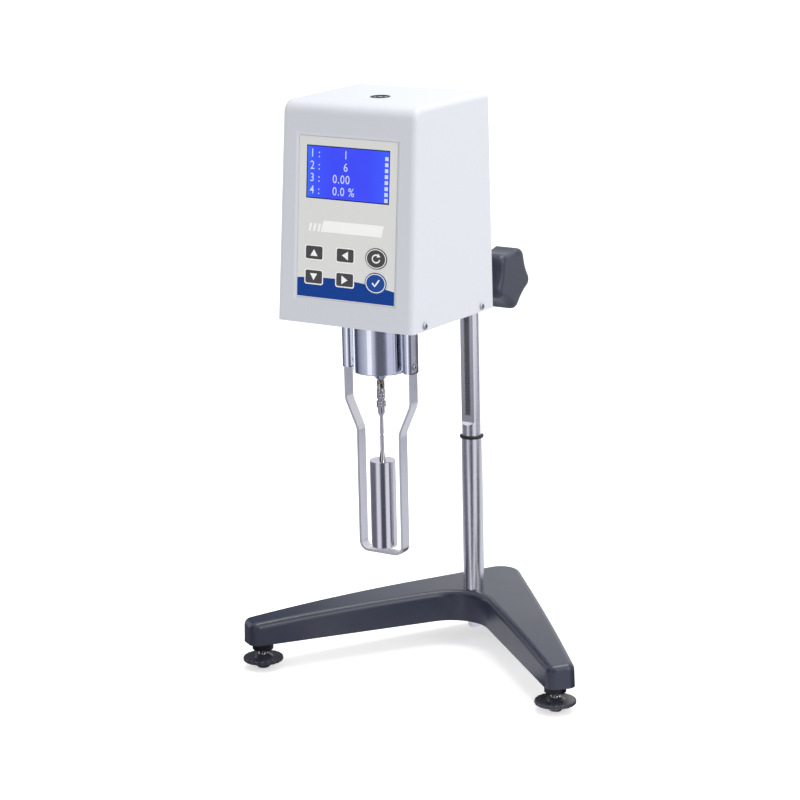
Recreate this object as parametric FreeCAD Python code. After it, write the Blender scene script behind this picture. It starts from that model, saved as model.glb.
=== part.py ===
import FreeCAD, Part
import math
import os
from FreeCAD import Placement, Rotation, Vector

# Digital rotational viscometer: a measuring head that climbs a toothed column on a
# V-shaped levelling base. Millimetres, +Z up, the head faces -Y. While it is drawn,
# X = Y = 0 is the spindle's axis and Z = 0 the bench. It is saved with its origin
# under the middle of its bounding box.

# Running and seating clearances
RUN_GAP = 0.05
SEAT_GAP = 0.1
PRESS_GAP = 0.025
COVER_GAP = 0.4
KEY_GAP = 0.15

# How far a cutting shape runs past the face it opens
OVERRUN = 1.0
DEEP_OVERRUN = 5.0

# Base casting, seen from above with the column's axis as its own origin
COLUMN_BACK = 122.0
BASE_TURN = 6.5
FOOT_SIDE = 121.0
FOOT_FORWARD = 119.0
REAR_FOOT_BACK = 46.0
LEG_INNER = 9.5
LEG_OUTER = 13.5
CROTCH_BACK = 1.2
HEEL_BACK = 77.3
TIP_REACH = 12.0
TIP_RADIUS = 7.0
CROTCH_RADIUS = 30.0
HEEL_RADIUS = 17.0
UNDERSIDE = 19.6
BASE_TOP = 43.0
TIP_DROP = 6.5
CASTING_WALL = 4.5
CASTING_ROOF = 5.0
CASTING_DRAFT = 1.5
CASTING_ROUND = 5.0
COLUMN_BOSS_RADIUS = 15.0
COLUMN_BOSS_DEPTH = 13.0
FOOT_BOSS_RADIUS = 9.0
RIB_THICKNESS = 4.0
WASHER_ROOM = 1.0

# Levelling feet
STUD_RADIUS = 3.9
STUD_STEP = 1.0
STUD_TOP = 28.0
PAD_RADIUS = 6.0
PAD_HEIGHT = 5.0
PAD_FLOOR = 1.6
FOOT_LIFT = 3.0
BUSH_RADIUS = 8.0
BUSH_HEIGHT = 5.6
BUSH_CHAMFER = 0.6
DISC_RADIUS = 15.2
DISC_CHAMFER = 0.6
DISC_CONE_FOOT = 1.5
DISC_THICKNESS = 3.0
DISC_TOP = 8.4
DISC_NECK_HEIGHT = 2.2
SCALLOPS = 20
SCALLOP_RADIUS = 1.5

# Column, rack and stop ring
COLUMN_RADIUS = 8.0
COLUMN_SLIDE_RADIUS = 7.5
STOP_HEIGHT = 163.0
COLUMN_TOP = 398.0
FLAT_DISTANCE = 5.0
FLAT_START = 176.0
COLUMN_STUD_RADIUS = 5.0
COLUMN_STUD_END = 12.0
COLUMN_CHAMFER = 0.9
NUT_ACROSS_FLATS = 17.0
NUT_HEIGHT = 8.0
WASHER_RADIUS = 10.5
WASHER_THICKNESS = 1.8
RING_CORD = 2.4
RACK_WIDTH = 4.3
RACK_DEPTH = 2.6
RACK_START = 181.0
RACK_END = 392.0

# Rack and pinion: a fine 20 degree tooth form shared by both
GEAR_MODULE = 0.5
PINION_TEETH = 24
PRESSURE_ANGLE = 20.0
TOOTH_BACKLASH = 0.12
ADDENDUM = 1.0
DEDENDUM = 1.25
PINION_WIDTH = 6.0
PINION_SHAFT_RADIUS = 4.0

# Lift clamp and knob, with the pinion's axis this far above the head's lower rim
PINION_RISE = 11.8
PINION_ROOM = 0.5
CLAMP_HALF_WIDTH = 12.6
CLAMP_FRONT = 24.0
CLAMP_BACK = 15.0
CLAMP_HEIGHT = 50.0
CLAMP_ROUND = 4.0
KNOB_RADIUS = 23.4
KNOB_VALLEY = 19.2
KNOB_LOBES = 5
LOBE_RADIUS = 7.0
KNOB_LENGTH = 21.0
KNOB_ROUND = 4.5
KNOB_SKIRT_RADIUS = 19.0
KNOB_SKIRT_LENGTH = 12.7
KNOB_STANDOFF = 1.0
KNOB_TURN = 58.0
KNOB_SKIRT_WALL = 3.0
KNOB_HUB_WALL = 4.0
COLLAR_RADIUS = 8.0
COLLAR_LENGTH = 5.0
COLLAR_CHAMFER = 0.8
SCREW_RADIUS = 2.5
SCREW_HEAD_RADIUS = 4.2
SCREW_HEAD_HEIGHT = 4.0
SCREW_REACH = 12.0

# Horizontal arm between the clamp and the head, this far above the pinion's axis
ARM_RISE = 16.0
ARM_RADIUS = 6.0
ARM_GRIP = 11.0
ARM_FLANGE_RADIUS = 11.0
ARM_FLANGE_THICKNESS = 4.0
ARM_STUD_RADIUS = 4.0
ARM_NUT_FLATS = 13.0
ARM_NUT_HEIGHT = 5.0
ARM_STUD_PROUD = 1.0

# Head cover, a moulded hood open underneath
HEAD_BOTTOM = 281.2
HEAD_HEIGHT = 156.8
HEAD_HALF_BOTTOM = 58.4
HEAD_HALF_TOP = 56.8
HEAD_FRONT = 45.0
HEAD_REAR = 61.0
FRONT_LEAN = 4.8
COVER_WALL = 3.0
BROW_RADIUS = 10.0
EDGE_RADIUS = 4.5
INNER_ROUND = 0.5

# Front label recess, display window and keys, measured up the leaning front
RECESS_HALF = 43.8
RECESS_LOW = 16.2
RECESS_HIGH = 135.3
RECESS_BEVEL = 2.2
RECESS_DEPTH = 1.4
LABEL_THICKNESS = 0.5
WINDOW_HALF = 35.3
WINDOW_LOW = 89.2
WINDOW_HIGH = 126.9
KEY_WIDTH = 14.0
KEY_HEIGHT = 8.9
ROUND_KEY_WIDTH = 18.0
ROUND_KEY_HEIGHT = 14.6
KEY_LEFT = -27.2
KEY_MIDDLE = -0.6
KEY_RIGHT = 25.7
KEY_ROW_HIGH = 50.8
KEY_ROW_LOW = 33.5
KEY_PROUD = 0.3
KEY_TRAVEL = 0.3
KEY_LIP = 1.2
KEY_CORNER = 1.2
KEY_LIP_THICKNESS = 1.0
KEY_STEM = 2.2
SWITCH_HALF = 3.0
SWITCH_HEIGHT = 3.5
BOARD_SETBACK = 10.6
BOARD_THICKNESS = 1.6
BOARD_HALF = 43.0
BOARD_LOW = 22.0
BOARD_HIGH = 132.0
MODULE_MARGIN = 2.5
MODULE_FRONT = 4.2

# Bubble level in the top of the cover
LEVEL_BACK = 8.0
LEVEL_RADIUS = 7.2
LEVEL_DEPTH = 9.0
LEVEL_RIM = 1.2
LEVEL_PROUD = 0.4
LEVEL_CROWN = 0.8

# Bottom plate of the head and its side rails
PLATE_INSET = 0.8
PLATE_THICKNESS = 4.0
RAIL_HEIGHT = 5.0
RAIL_WIDTH = 6.0
SIDE_SCREW_HEIGHT = 3.9
SIDE_SCREW_FRONT = -30.0
SIDE_SCREW_BACK = 45.4
M3_RADIUS = 1.5
M3_HEAD_RADIUS = 2.4
M3_HEAD_HEIGHT = 1.6
M3_REACH = 7.0
CROSS_REACH = 1.44
CROSS_HALF = 0.34

# Upright chassis plate and rear panel
CHASSIS_BACK = 50.0
CHASSIS_THICKNESS = 3.0
CHASSIS_HALF = 44.0
CHASSIS_HEIGHT = 118.0
CHASSIS_FOOT = 12.0
CHASSIS_ROUND = 4.0
CHASSIS_ROOM = 2.0
PANEL_HALF = 42.0
PANEL_LOW = 15.0
PANEL_HIGH = 122.0
PANEL_THICKNESS = 1.5
PANEL_RIM = 5.0
PANEL_ROUND = 3.0
SWITCH_SIDE = -24.0
SWITCH_UP = 88.0
ROCKER_HALF_WIDTH = 5.0
ROCKER_HALF_HEIGHT = 8.5
ROCKER_TILT = 9.0
ROCKER_CLEARANCE = 1.2
ROCKER_DEPTH = 2.0
ROCKER_EDGE_HEIGHT = 5.5
ROCKER_DISH_HEIGHT = 4.3
BEZEL_MARGIN = 2.5
BEZEL_HEIGHT = 1.6
SWITCH_WALL = 1.4
AXLE_RADIUS = 0.8
AXLE_STUB = 0.8
AXLE_DEPTH = 2.5
SWITCH_BODY_DEPTH = 9.0
INLET_SIDE = -24.0
INLET_UP = 58.0
INLET_RADIUS = 5.5
INLET_BORE = 2.8
INLET_PIN = 1.0
INLET_DEPTH = 12.0
INLET_COLLAR = 1.8
INLET_PROUD = 1.0
INLET_FLOOR = 2.0
INLET_PIN_DROP = 1.5
PORT_SIDE = 20.0
PORT_UP = 74.0
PORT_HALF_WIDTH = 15.4
PORT_HALF_HEIGHT = 6.2
PORT_SHELL_WIDTH = 9.0
PORT_SHELL_HEIGHT = 4.6
PORT_SHELL_SLANT = 1.4
PORT_SHELL_ROUND = 1.6
PORT_SHELL_PROUD = 4.5
PORT_SHELL_DEPTH = 8.0
PORT_FLANGE = 1.2
PORT_PIN_PITCH = 2.77
PORT_ROW_HALF = 1.42
PORT_PIN_RADIUS = 0.55
PORT_PINS_LONG = 5
PORT_PINS_SHORT = 4

# Bearing cup, nose and guard under the head, placed down from its lower rim
CUP_RADIUS = 18.8
CUP_WALL = 2.5
CUP_FLOOR = 3.0
CUP_DROP = 40.5
CUP_CHAMFER = 0.6
CUP_FLANGE_RADIUS = 23.0
CUP_FLANGE_THICKNESS = 2.5
NOSE_TOP_RADIUS = 6.0
NOSE_END_RADIUS = 2.7
NOSE_LENGTH = 6.9
NOSE_BAND = 2.4
NOSE_BORE_GAP = 0.2
NOSE_SPIGOT_RADIUS = 4.0
JEWEL_RADIUS = 5.5
JEWEL_HEIGHT = 3.0
GUARD_HALF_UPPER = 29.0
GUARD_HALF_LOWER = 19.1
GUARD_THICKNESS = 1.8
GUARD_WIDTH = 8.8
GUARD_BEND_DROP = 63.7
GUARD_BEND_FALL = 21.5
GUARD_FLOOR_GAP = 4.9
GUARD_BEND_RADIUS = 12.0
GUARD_CORNER_RADIUS = 7.5
BRACKET_DEPTH = 7.5
BRACKET_LIP = 1.0
BRACKET_HALF_WIDTH = 5.8
BRACKET_DROP = 39.7
GUARD_SCREW_LIFT = 4.8
GUARD_SCREW_REACH = 5.0

# Torque-sensing shaft, its two signal discs and the drive above
SHAFT_RADIUS = 1.5
SHAFT_COLLAR_HEIGHT = 1.5
DISC_LIFT = 14.0
DISC_SPACING = 13.0
SIGNAL_DISC_RADIUS = 27.0
SIGNAL_DISC_THICKNESS = 0.8
SIGNAL_SLOTS = 12
SLOT_HALF = 1.0
SLOT_RIM = 1.5
HUB_DROP = 2.0
LOWER_HUB_RADIUS = 5.0
SPRING_TURNS = 3.5
SPRING_STEPS = 18
SPRING_OUTER = 14.0
SPRING_STRIP = 0.5
SPRING_HEIGHT = 2.0
SPRING_LIFT = 4.0
PEG_RADIUS = 1.0
DRIVE_HUB_RADIUS = 6.0
DRIVE_HUB_HEIGHT = 12.0
DRIVE_HUB_DROP = 1.0
DRIVE_SHAFT_RADIUS = 2.5
SENSOR_WIDTH = 12.0
SENSOR_OVERLAP = 5.0
SENSOR_THICKNESS = 6.0
SENSOR_SLOT = 2.4
SENSOR_POST = 6.0
MOTOR_PLATE_HEIGHT = 60.0
MOTOR_PLATE_HALF = 33.0
MOTOR_PLATE_FRONT = 24.0
MOTOR_PLATE_BACK = 30.0
MOTOR_PLATE_THICKNESS = 3.0
PILLAR_RADIUS = 3.0
PILLAR_INSET = 4.5
MOTOR_RADIUS = 22.0
MOTOR_HEIGHT = 24.0
MOTOR_CROWN = 3.0
MOTOR_SHOULDER = 4.0
MOTOR_EAR_REACH = 6.0
MOTOR_EAR_HALF = 4.0
MOTOR_EAR_ROUND = 3.5
MOTOR_EAR_THICKNESS = 1.2
MAIN_BOARD_HALF = 38.0
MAIN_BOARD_LOW = 44.0
MAIN_BOARD_HIGH = 112.0
STANDOFF = 5.0
CHIP_HALF = 8.0
CHIP_HEIGHT = 2.5
RELAY_SIDE = 22.0
RELAY_RISE = 14.0
RELAY_HALF_WIDTH = 6.0
RELAY_HALF_HEIGHT = 8.0
RELAY_DEPTH = 8.0
CAPACITOR_SIDE = -24.0
LARGE_CAPACITOR = (5.0, 12.0, 16.0)
SMALL_CAPACITOR = (4.0, 10.0, -2.0)

# Universal joint, coupling sleeve and spindle
JOINT_RADIUS = 2.9
JOINT_BLOCK = 1.3
JOINT_PIN_RADIUS = 0.5
JOINT_EAR_GAP = 0.2
JOINT_REACH = 2.0
JOINT_HUB_HEIGHT = 1.4
NOSE_CLEARANCE = 0.5
SLEEVE_RIDGE_RADIUS = 3.1
SLEEVE_NECK_RADIUS = 2.6
SLEEVE_KNURL_RADIUS = 3.2
SLEEVE_LENGTH = 18.3
KNURLS = 16
KNURL_RADIUS = 0.22
SPINDLE_SHAFT_RADIUS = 1.5
SPINDLE_DROP = 55.9
SPINDLE_LENGTH = 65.1
SPINDLE_RADIUS = 9.42
SPINDLE_CONE_LENGTH = 7.0
SPINDLE_CONE_RADIUS = 2.6
SPINDLE_CHAMFER = 0.3
SPINDLE_WAIST_LIFT = 18.7
SPINDLE_WAIST_RADIUS = 1.0
SPINDLE_WAIST_HALF = 0.6
SPINDLE_SHOULDER = 2.4
SPINDLE_SHOULDER_BAND = 0.4

# Places worked out from the sizes above
TAPER = (HEAD_HALF_BOTTOM - HEAD_HALF_TOP) / HEAD_HEIGHT
LEAN = math.tan(math.radians(FRONT_LEAN))
HEAD_TOP = HEAD_BOTTOM + HEAD_HEIGHT
PLATE_LOW = HEAD_BOTTOM + PLATE_INSET
PLATE_TOP = PLATE_LOW + PLATE_THICKNESS
RAIL_TOP = PLATE_TOP + RAIL_HEIGHT
PINION_HEIGHT = HEAD_BOTTOM + PINION_RISE
ARM_HEIGHT = PINION_HEIGHT + ARM_RISE
PITCH_RADIUS = GEAR_MODULE * PINION_TEETH / 2
RACK_PITCH_LINE = FLAT_DISTANCE + DEDENDUM * GEAR_MODULE
PINION_BACK = COLUMN_BACK - RACK_PITCH_LINE - PITCH_RADIUS
CLAMP_LOW = PINION_HEIGHT - CLAMP_HEIGHT / 2
CLAMP_FACE = COLUMN_BACK - CLAMP_FRONT
CLAMP_REAR = COLUMN_BACK + CLAMP_BACK
KNOB_START = CLAMP_HALF_WIDTH + KNOB_STANDOFF
KNOB_FACE = KNOB_START + KNOB_SKIRT_LENGTH
KNOB_BORE_END = KNOB_FACE + KNOB_LENGTH * 0.6
PANEL_FACE = HEAD_REAR + PANEL_THICKNESS
MOTOR_PLATE_LOW = PLATE_TOP + MOTOR_PLATE_HEIGHT
LOWER_DISC_HEIGHT = PLATE_TOP + DISC_LIFT
UPPER_DISC_HEIGHT = LOWER_DISC_HEIGHT + DISC_SPACING
SHAFT_TOP = UPPER_DISC_HEIGHT - DRIVE_HUB_DROP + DRIVE_HUB_HEIGHT / 2
CUP_BOTTOM = HEAD_BOTTOM - CUP_DROP
NOSE_LOW = CUP_BOTTOM - NOSE_LENGTH
JOINT_HEIGHT = NOSE_LOW - NOSE_CLEARANCE - JOINT_HUB_HEIGHT - JOINT_REACH
SLEEVE_LOW = JOINT_HEIGHT - JOINT_REACH - SLEEVE_LENGTH
SPINDLE_TOP = JOINT_HEIGHT - SPINDLE_DROP
SPINDLE_LOW = SPINDLE_TOP - SPINDLE_LENGTH
GUARD_BOTTOM = SPINDLE_LOW - GUARD_FLOOR_GAP
GUARD_BEND_HIGH = HEAD_BOTTOM - GUARD_BEND_DROP
GUARD_BEND_LOW = GUARD_BEND_HIGH - GUARD_BEND_FALL
BRACKET_BOTTOM = HEAD_BOTTOM - BRACKET_DROP
GUARD_SCREW_HEIGHT = BRACKET_BOTTOM + GUARD_SCREW_LIFT

parts = {}


def block(x0, x1, y0, y1, z0, z1):
    """Box between two corners."""
    return Part.makeBox(x1 - x0, y1 - y0, z1 - z0, Vector(x0, y0, z0))


def rod(radius, start, end):
    """Round bar from one point to another."""
    way = Vector(*end) - Vector(*start)
    return Part.makeCylinder(radius, way.Length, Vector(*start), way)


def upright(radius, low, high, x=0.0, y=0.0):
    """Round bar along Z."""
    return rod(radius, (x, y, low), (x, y, high))


def turned(profile, x=0.0, y=0.0):
    """Solid turned about the vertical through (x, y), from (radius, height) points."""
    points = [Vector(x + r, y, z) for r, z in profile]
    face = Part.Face(Part.makePolygon(points + points[:1]))
    return face.revolve(Vector(x, y, 0), Vector(0, 0, 1), 360)


def hexagon(across_flats, low, high, hole):
    """Hexagonal nut about the Z axis with a plain hole."""
    corner = across_flats / 2 / math.cos(math.radians(30))
    angles = [math.radians(60 * i) for i in range(6)]
    points = [Vector(corner * math.cos(angle), corner * math.sin(angle), low) for angle in angles]
    nut = Part.Face(Part.makePolygon(points + points[:1])).extrude(Vector(0, 0, high - low))
    return nut.cut(upright(hole, low - OVERRUN, high + OVERRUN))


def inset_polygon(points, inset):
    """Move each side of an anticlockwise polygon inwards and meet the sides again."""
    sides = []
    for i, start in enumerate(points):
        end = points[(i + 1) % len(points)]
        length = math.hypot(end[0] - start[0], end[1] - start[1])
        way = ((end[0] - start[0]) / length, (end[1] - start[1]) / length)
        sides.append(((start[0] - inset * way[1], start[1] + inset * way[0]), way))
    moved = []
    for i, (point, way) in enumerate(sides):
        before, along = sides[i - 1]
        cross = along[0] * way[1] - along[1] * way[0]
        gap = (point[0] - before[0], point[1] - before[1])
        reach = (gap[0] * way[1] - gap[1] * way[0]) / cross
        moved.append((before[0] + reach * along[0], before[1] + reach * along[1]))
    return moved


def rounded_outline(points, radii, inset=0.0):
    """Anticlockwise polygon with a round at each corner, inset all round, as a wire at Z = 0."""
    corners = inset_polygon(points, inset)
    count = len(corners)
    rounds = []
    for i, corner in enumerate(corners):
        here = Vector(corner[0], corner[1], 0)
        back = (Vector(*corners[i - 1], 0) - here).normalize()
        ahead = (Vector(*corners[(i + 1) % count], 0) - here).normalize()
        turns_left = back.cross(ahead).z < 0
        radius = max(radii[i] - inset, 0.0) if turns_left else radii[i] + inset
        if radii[i] == 0 or radius == 0:
            rounds.append((here, None, here))
            continue
        half = back.getAngle(ahead) / 2
        bisector = (back + ahead).normalize()
        centre = here + bisector * (radius / math.sin(half))
        tangent = radius / math.tan(half)
        rounds.append((here + back * tangent, centre - bisector * radius, here + ahead * tangent))
    edges = []
    for i, (entry, middle, leave) in enumerate(rounds):
        if middle is not None:
            edges.append(Part.Arc(entry, middle, leave).toShape())
        edges.append(Part.LineSegment(leave, rounds[(i + 1) % count][0]).toShape())
    return Part.Wire(edges)


def prism(wire, low, high):
    """Solid from a flat outline at Z = 0, between two heights."""
    face = Part.Face(wire)
    face.translate(Vector(0, 0, low))
    return face.extrude(Vector(0, 0, high - low))


def along_x(shape):
    """Turn a solid drawn as (Y, Z, X) so that it stands in its real place."""
    turn = Placement(Vector(0, 0, 0), Rotation(Vector(1, 1, 1), 120))
    shape.Placement = turn.multiply(shape.Placement)
    return shape


def along_y(shape):
    """Turn a solid drawn as (X, Z, -Y) so that it stands in its real place."""
    turn = Placement(Vector(0, 0, 0), Rotation(Vector(1, 0, 0), 90))
    shape.Placement = turn.multiply(shape.Placement)
    return shape


def joined(shapes):
    """One solid from touching shapes."""
    return shapes[0].fuse(shapes[1:]).removeSplitter()


def group(shapes):
    """Like pieces that stay separate solids in one file."""
    return Part.makeCompound(shapes)


def inner_half(height):
    """Half the clear width inside the cover at a height."""
    slope = math.sqrt(1 + TAPER * TAPER)
    return HEAD_HALF_BOTTOM - (height - HEAD_BOTTOM) * TAPER - COVER_WALL * slope


def inner_front(height):
    """Y of the cover's inner front face at a height."""
    slope = math.sqrt(1 + LEAN * LEAN)
    return -HEAD_FRONT + (height - HEAD_BOTTOM) * LEAN + COVER_WALL * slope


def on_front(shape):
    """Put a shape drawn as (across, up the front, outwards) on the leaning front face."""
    turn = Placement(Vector(0, -HEAD_FRONT, HEAD_BOTTOM), Rotation(Vector(1, 0, 0), 90 - FRONT_LEAN))
    shape.Placement = turn.multiply(shape.Placement)
    return shape


def on_base(shape):
    """Turn a shape drawn about the column's axis with the base and move it there."""
    shape.rotate(Vector(0, 0, 0), Vector(0, 0, 1), BASE_TURN)
    shape.translate(Vector(0, COLUMN_BACK, 0))
    return shape


# Base casting: a V seen from above, open underneath, with bosses and ribs inside
def base_corners():
    """Corners of the V from the right tip's inner corner, anticlockwise."""
    foot = Vector(FOOT_SIDE, -FOOT_FORWARD, 0)
    crotch = Vector(0, CROTCH_BACK, 0)
    heel = Vector(0, HEEL_BACK, 0)

    def wall_angle(corner, offset):
        """Angle from -Y of the wall that leaves a corner and passes the foot at this distance."""
        reach = foot - corner
        return math.atan2(reach.x, -reach.y) + math.asin(offset / reach.Length)

    inner = wall_angle(crotch, -LEG_INNER)
    outer = wall_angle(heel, LEG_OUTER)
    middle = (inner + outer) / 2
    across = Vector(math.sin(middle), -math.cos(middle), 0)

    def tip(corner, angle):
        """Where the wall crosses the tip's line."""
        way = Vector(math.sin(angle), -math.cos(angle), 0)
        end = corner + way * ((TIP_REACH + (foot - corner).dot(across)) / way.dot(across))
        return (end.x, end.y)

    tip_inner = tip(crotch, inner)
    tip_outer = tip(heel, outer)
    mirrored = [(-tip_outer[0], tip_outer[1]), (-tip_inner[0], tip_inner[1])]
    return [tip_inner, tip_outer, (heel.x, heel.y)] + mirrored + [(crotch.x, crotch.y)]


BASE_ROUNDS = [TIP_RADIUS, TIP_RADIUS, HEEL_RADIUS, TIP_RADIUS, TIP_RADIUS, CROTCH_RADIUS]
FOOT_PLACES = {"left": (-FOOT_SIDE, -FOOT_FORWARD), "right": (FOOT_SIDE, -FOOT_FORWARD),
               "rear": (0.0, REAR_FOOT_BACK)}


def base_top_limit(drop):
    """Everything under the casting's top, level at the heel and falling in a long arc to the tips."""
    reach = FOOT_FORWARD + TIP_REACH
    level = BASE_TOP - drop
    bend = (reach * reach + TIP_DROP * TIP_DROP) / (2 * TIP_DROP)
    front = reach + 3 * TIP_REACH

    def on_arc(y):
        """Point of the arc at this distance in front of the column."""
        return Vector(-y, level - bend + math.sqrt(bend * bend - y * y), 0)

    rear = REAR_FOOT_BACK + 2 * HEEL_RADIUS
    floor = UNDERSIDE - DEEP_OVERRUN
    edges = [Part.LineSegment(Vector(-front, floor, 0), Vector(rear, floor, 0)).toShape(),
             Part.LineSegment(Vector(rear, floor, 0), Vector(rear, level, 0)).toShape(),
             Part.LineSegment(Vector(rear, level, 0), Vector(0, level, 0)).toShape(),
             Part.Arc(Vector(0, level, 0), on_arc(front / 2), on_arc(front)).toShape(),
             Part.LineSegment(on_arc(front), Vector(-front, floor, 0)).toShape()]
    half = FOOT_SIDE + 3 * TIP_REACH
    return along_x(prism(Part.Wire(edges), -half, half))


def base_casting():
    """Cast V with drafted walls, rounded top edges, column and foot bosses, and ribs along the legs."""
    corners = base_corners()
    tall = BASE_TOP - UNDERSIDE + DEEP_OVERRUN
    draft = tall * math.tan(math.radians(CASTING_DRAFT))
    foot_line = rounded_outline(corners, BASE_ROUNDS)
    top_line = rounded_outline(corners, BASE_ROUNDS, draft)
    foot_line.translate(Vector(0, 0, UNDERSIDE))
    top_line.translate(Vector(0, 0, UNDERSIDE + tall))
    body = Part.makeLoft([foot_line, top_line], True, True).common(base_top_limit(0))
    rim = [edge for edge in body.Edges if edge.BoundBox.ZMin > UNDERSIDE + OVERRUN]
    body = body.makeFillet(CASTING_ROUND, rim)
    hollow = prism(rounded_outline(corners, BASE_ROUNDS, CASTING_WALL + draft), UNDERSIDE - OVERRUN, BASE_TOP)
    hollow = hollow.common(base_top_limit(CASTING_ROOF))
    boss_end = BASE_TOP - COLUMN_BOSS_DEPTH
    inside = [upright(COLUMN_BOSS_RADIUS, boss_end, BASE_TOP)]
    for x, y in FOOT_PLACES.values():
        inside.append(upright(FOOT_BOSS_RADIUS, UNDERSIDE, BASE_TOP, x, y))
        reach = math.hypot(x, y)
        web = block(0, reach, -RIB_THICKNESS / 2, RIB_THICKNESS / 2, boss_end, BASE_TOP)
        web.rotate(Vector(0, 0, 0), Vector(0, 0, 1), math.degrees(math.atan2(y, x)))
        inside.append(web)
    body = body.cut(hollow.cut(inside))
    holes = [upright(COLUMN_STUD_RADIUS + SEAT_GAP, UNDERSIDE, BASE_TOP + OVERRUN),
             upright(WASHER_RADIUS + WASHER_ROOM, UNDERSIDE - OVERRUN, boss_end)]
    for x, y in FOOT_PLACES.values():
        stud_room = STUD_TOP + FOOT_LIFT + OVERRUN
        holes.append(upright(STUD_RADIUS + RUN_GAP, UNDERSIDE - OVERRUN, stud_room, x, y))
    return on_base(body.cut(holes).removeSplitter())


# Levelling feet: a bush pressed to the leg, a threaded stud, a scalloped hand disc and a round pad
def foot_bush(x, y):
    """Plain collar that the stud passes through."""
    low = UNDERSIDE - BUSH_HEIGHT
    collar = upright(BUSH_RADIUS, low, UNDERSIDE, x, y)
    rim = [edge for edge in collar.Edges if edge.BoundBox.ZMax < UNDERSIDE - BUSH_HEIGHT / 2]
    collar = collar.makeChamfer(BUSH_CHAMFER, rim)
    return collar.cut(upright(STUD_RADIUS + RUN_GAP, low - OVERRUN, UNDERSIDE + OVERRUN, x, y))


def foot_stud(x, y):
    """Threaded stud, drawn plain, with a reduced end through the hand disc and into the pad."""
    neck = DISC_TOP + DISC_NECK_HEIGHT
    thin = STUD_RADIUS - STUD_STEP
    profile = [(0, PAD_FLOOR), (thin, PAD_FLOOR), (thin, neck), (STUD_RADIUS, neck),
               (STUD_RADIUS, STUD_TOP - STUD_STEP), (thin, STUD_TOP), (0, STUD_TOP)]
    return turned(profile, x, y)


def foot_pad(x, y):
    """Round pad that stands on the bench while the stud turns in it."""
    bore = STUD_RADIUS - STUD_STEP + RUN_GAP
    profile = [(0, 0), (PAD_RADIUS * 0.7, 0), (PAD_RADIUS * 0.92, PAD_HEIGHT * 0.25),
               (PAD_RADIUS, PAD_HEIGHT * 0.6), (PAD_RADIUS, PAD_HEIGHT), (bore, PAD_HEIGHT),
               (bore, PAD_FLOOR), (0, PAD_FLOOR)]
    return turned(profile, x, y)


def foot_disc(x, y):
    """Hand disc with a scalloped rim and a cone above."""
    bore = STUD_RADIUS - STUD_STEP + PRESS_GAP
    low = DISC_TOP - DISC_THICKNESS
    neck = DISC_TOP + DISC_NECK_HEIGHT
    shy = DISC_RADIUS - DISC_CHAMFER
    profile = [(bore, low), (shy, low), (DISC_RADIUS, low + DISC_CHAMFER),
               (DISC_RADIUS, DISC_TOP - DISC_CHAMFER), (shy, DISC_TOP), (PAD_RADIUS + DISC_CONE_FOOT, DISC_TOP),
               (STUD_RADIUS + DISC_CHAMFER, neck), (bore, neck)]
    cutters = []
    pitch_circle = DISC_RADIUS + SCALLOP_RADIUS * 0.35
    for i in range(SCALLOPS):
        angle = 2 * math.pi * i / SCALLOPS
        cutters.append(upright(SCALLOP_RADIUS, low - OVERRUN, DISC_TOP + OVERRUN,
                               x + pitch_circle * math.cos(angle), y + pitch_circle * math.sin(angle)))
    return turned(profile, x, y).cut(cutters)


# Column: ground bar with a milled front flat, a slot for the rack and a threaded lower end
def column():
    """Stepped bar, flat and slotted down the front of its upper part."""
    run_out = COLUMN_SLIDE_RADIUS - FLAT_DISTANCE
    cut = COLUMN_CHAMFER
    profile = [(0, COLUMN_STUD_END), (COLUMN_STUD_RADIUS - cut, COLUMN_STUD_END),
               (COLUMN_STUD_RADIUS, COLUMN_STUD_END + cut), (COLUMN_STUD_RADIUS, BASE_TOP),
               (COLUMN_RADIUS, BASE_TOP), (COLUMN_RADIUS, STOP_HEIGHT), (COLUMN_SLIDE_RADIUS, STOP_HEIGHT),
               (COLUMN_SLIDE_RADIUS, COLUMN_TOP - cut), (COLUMN_SLIDE_RADIUS - cut, COLUMN_TOP),
               (0, COLUMN_TOP)]
    bar = turned(profile)
    clear = -COLUMN_RADIUS - OVERRUN
    above = COLUMN_TOP + OVERRUN
    flat = [(clear, FLAT_START - run_out - OVERRUN), (-FLAT_DISTANCE, FLAT_START), (-FLAT_DISTANCE, above),
            (clear, above)]
    points = [Vector(y, z, 0) for y, z in flat]
    cutter = along_x(prism(Part.makePolygon(points + points[:1]), -COLUMN_RADIUS, COLUMN_RADIUS))
    slot = block(-RACK_WIDTH / 2, RACK_WIDTH / 2, -FLAT_DISTANCE - OVERRUN, -FLAT_DISTANCE + RACK_DEPTH,
                 RACK_START, RACK_END)
    ring_top = STOP_HEIGHT + RING_CORD
    groove = upright(COLUMN_SLIDE_RADIUS + OVERRUN, STOP_HEIGHT, ring_top)
    seat = COLUMN_SLIDE_RADIUS - RING_CORD / 4
    groove = groove.cut(upright(seat, STOP_HEIGHT - OVERRUN, ring_top + OVERRUN))
    bar = bar.cut([cutter, slot, groove])
    bar.translate(Vector(0, COLUMN_BACK, 0))
    return bar


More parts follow.
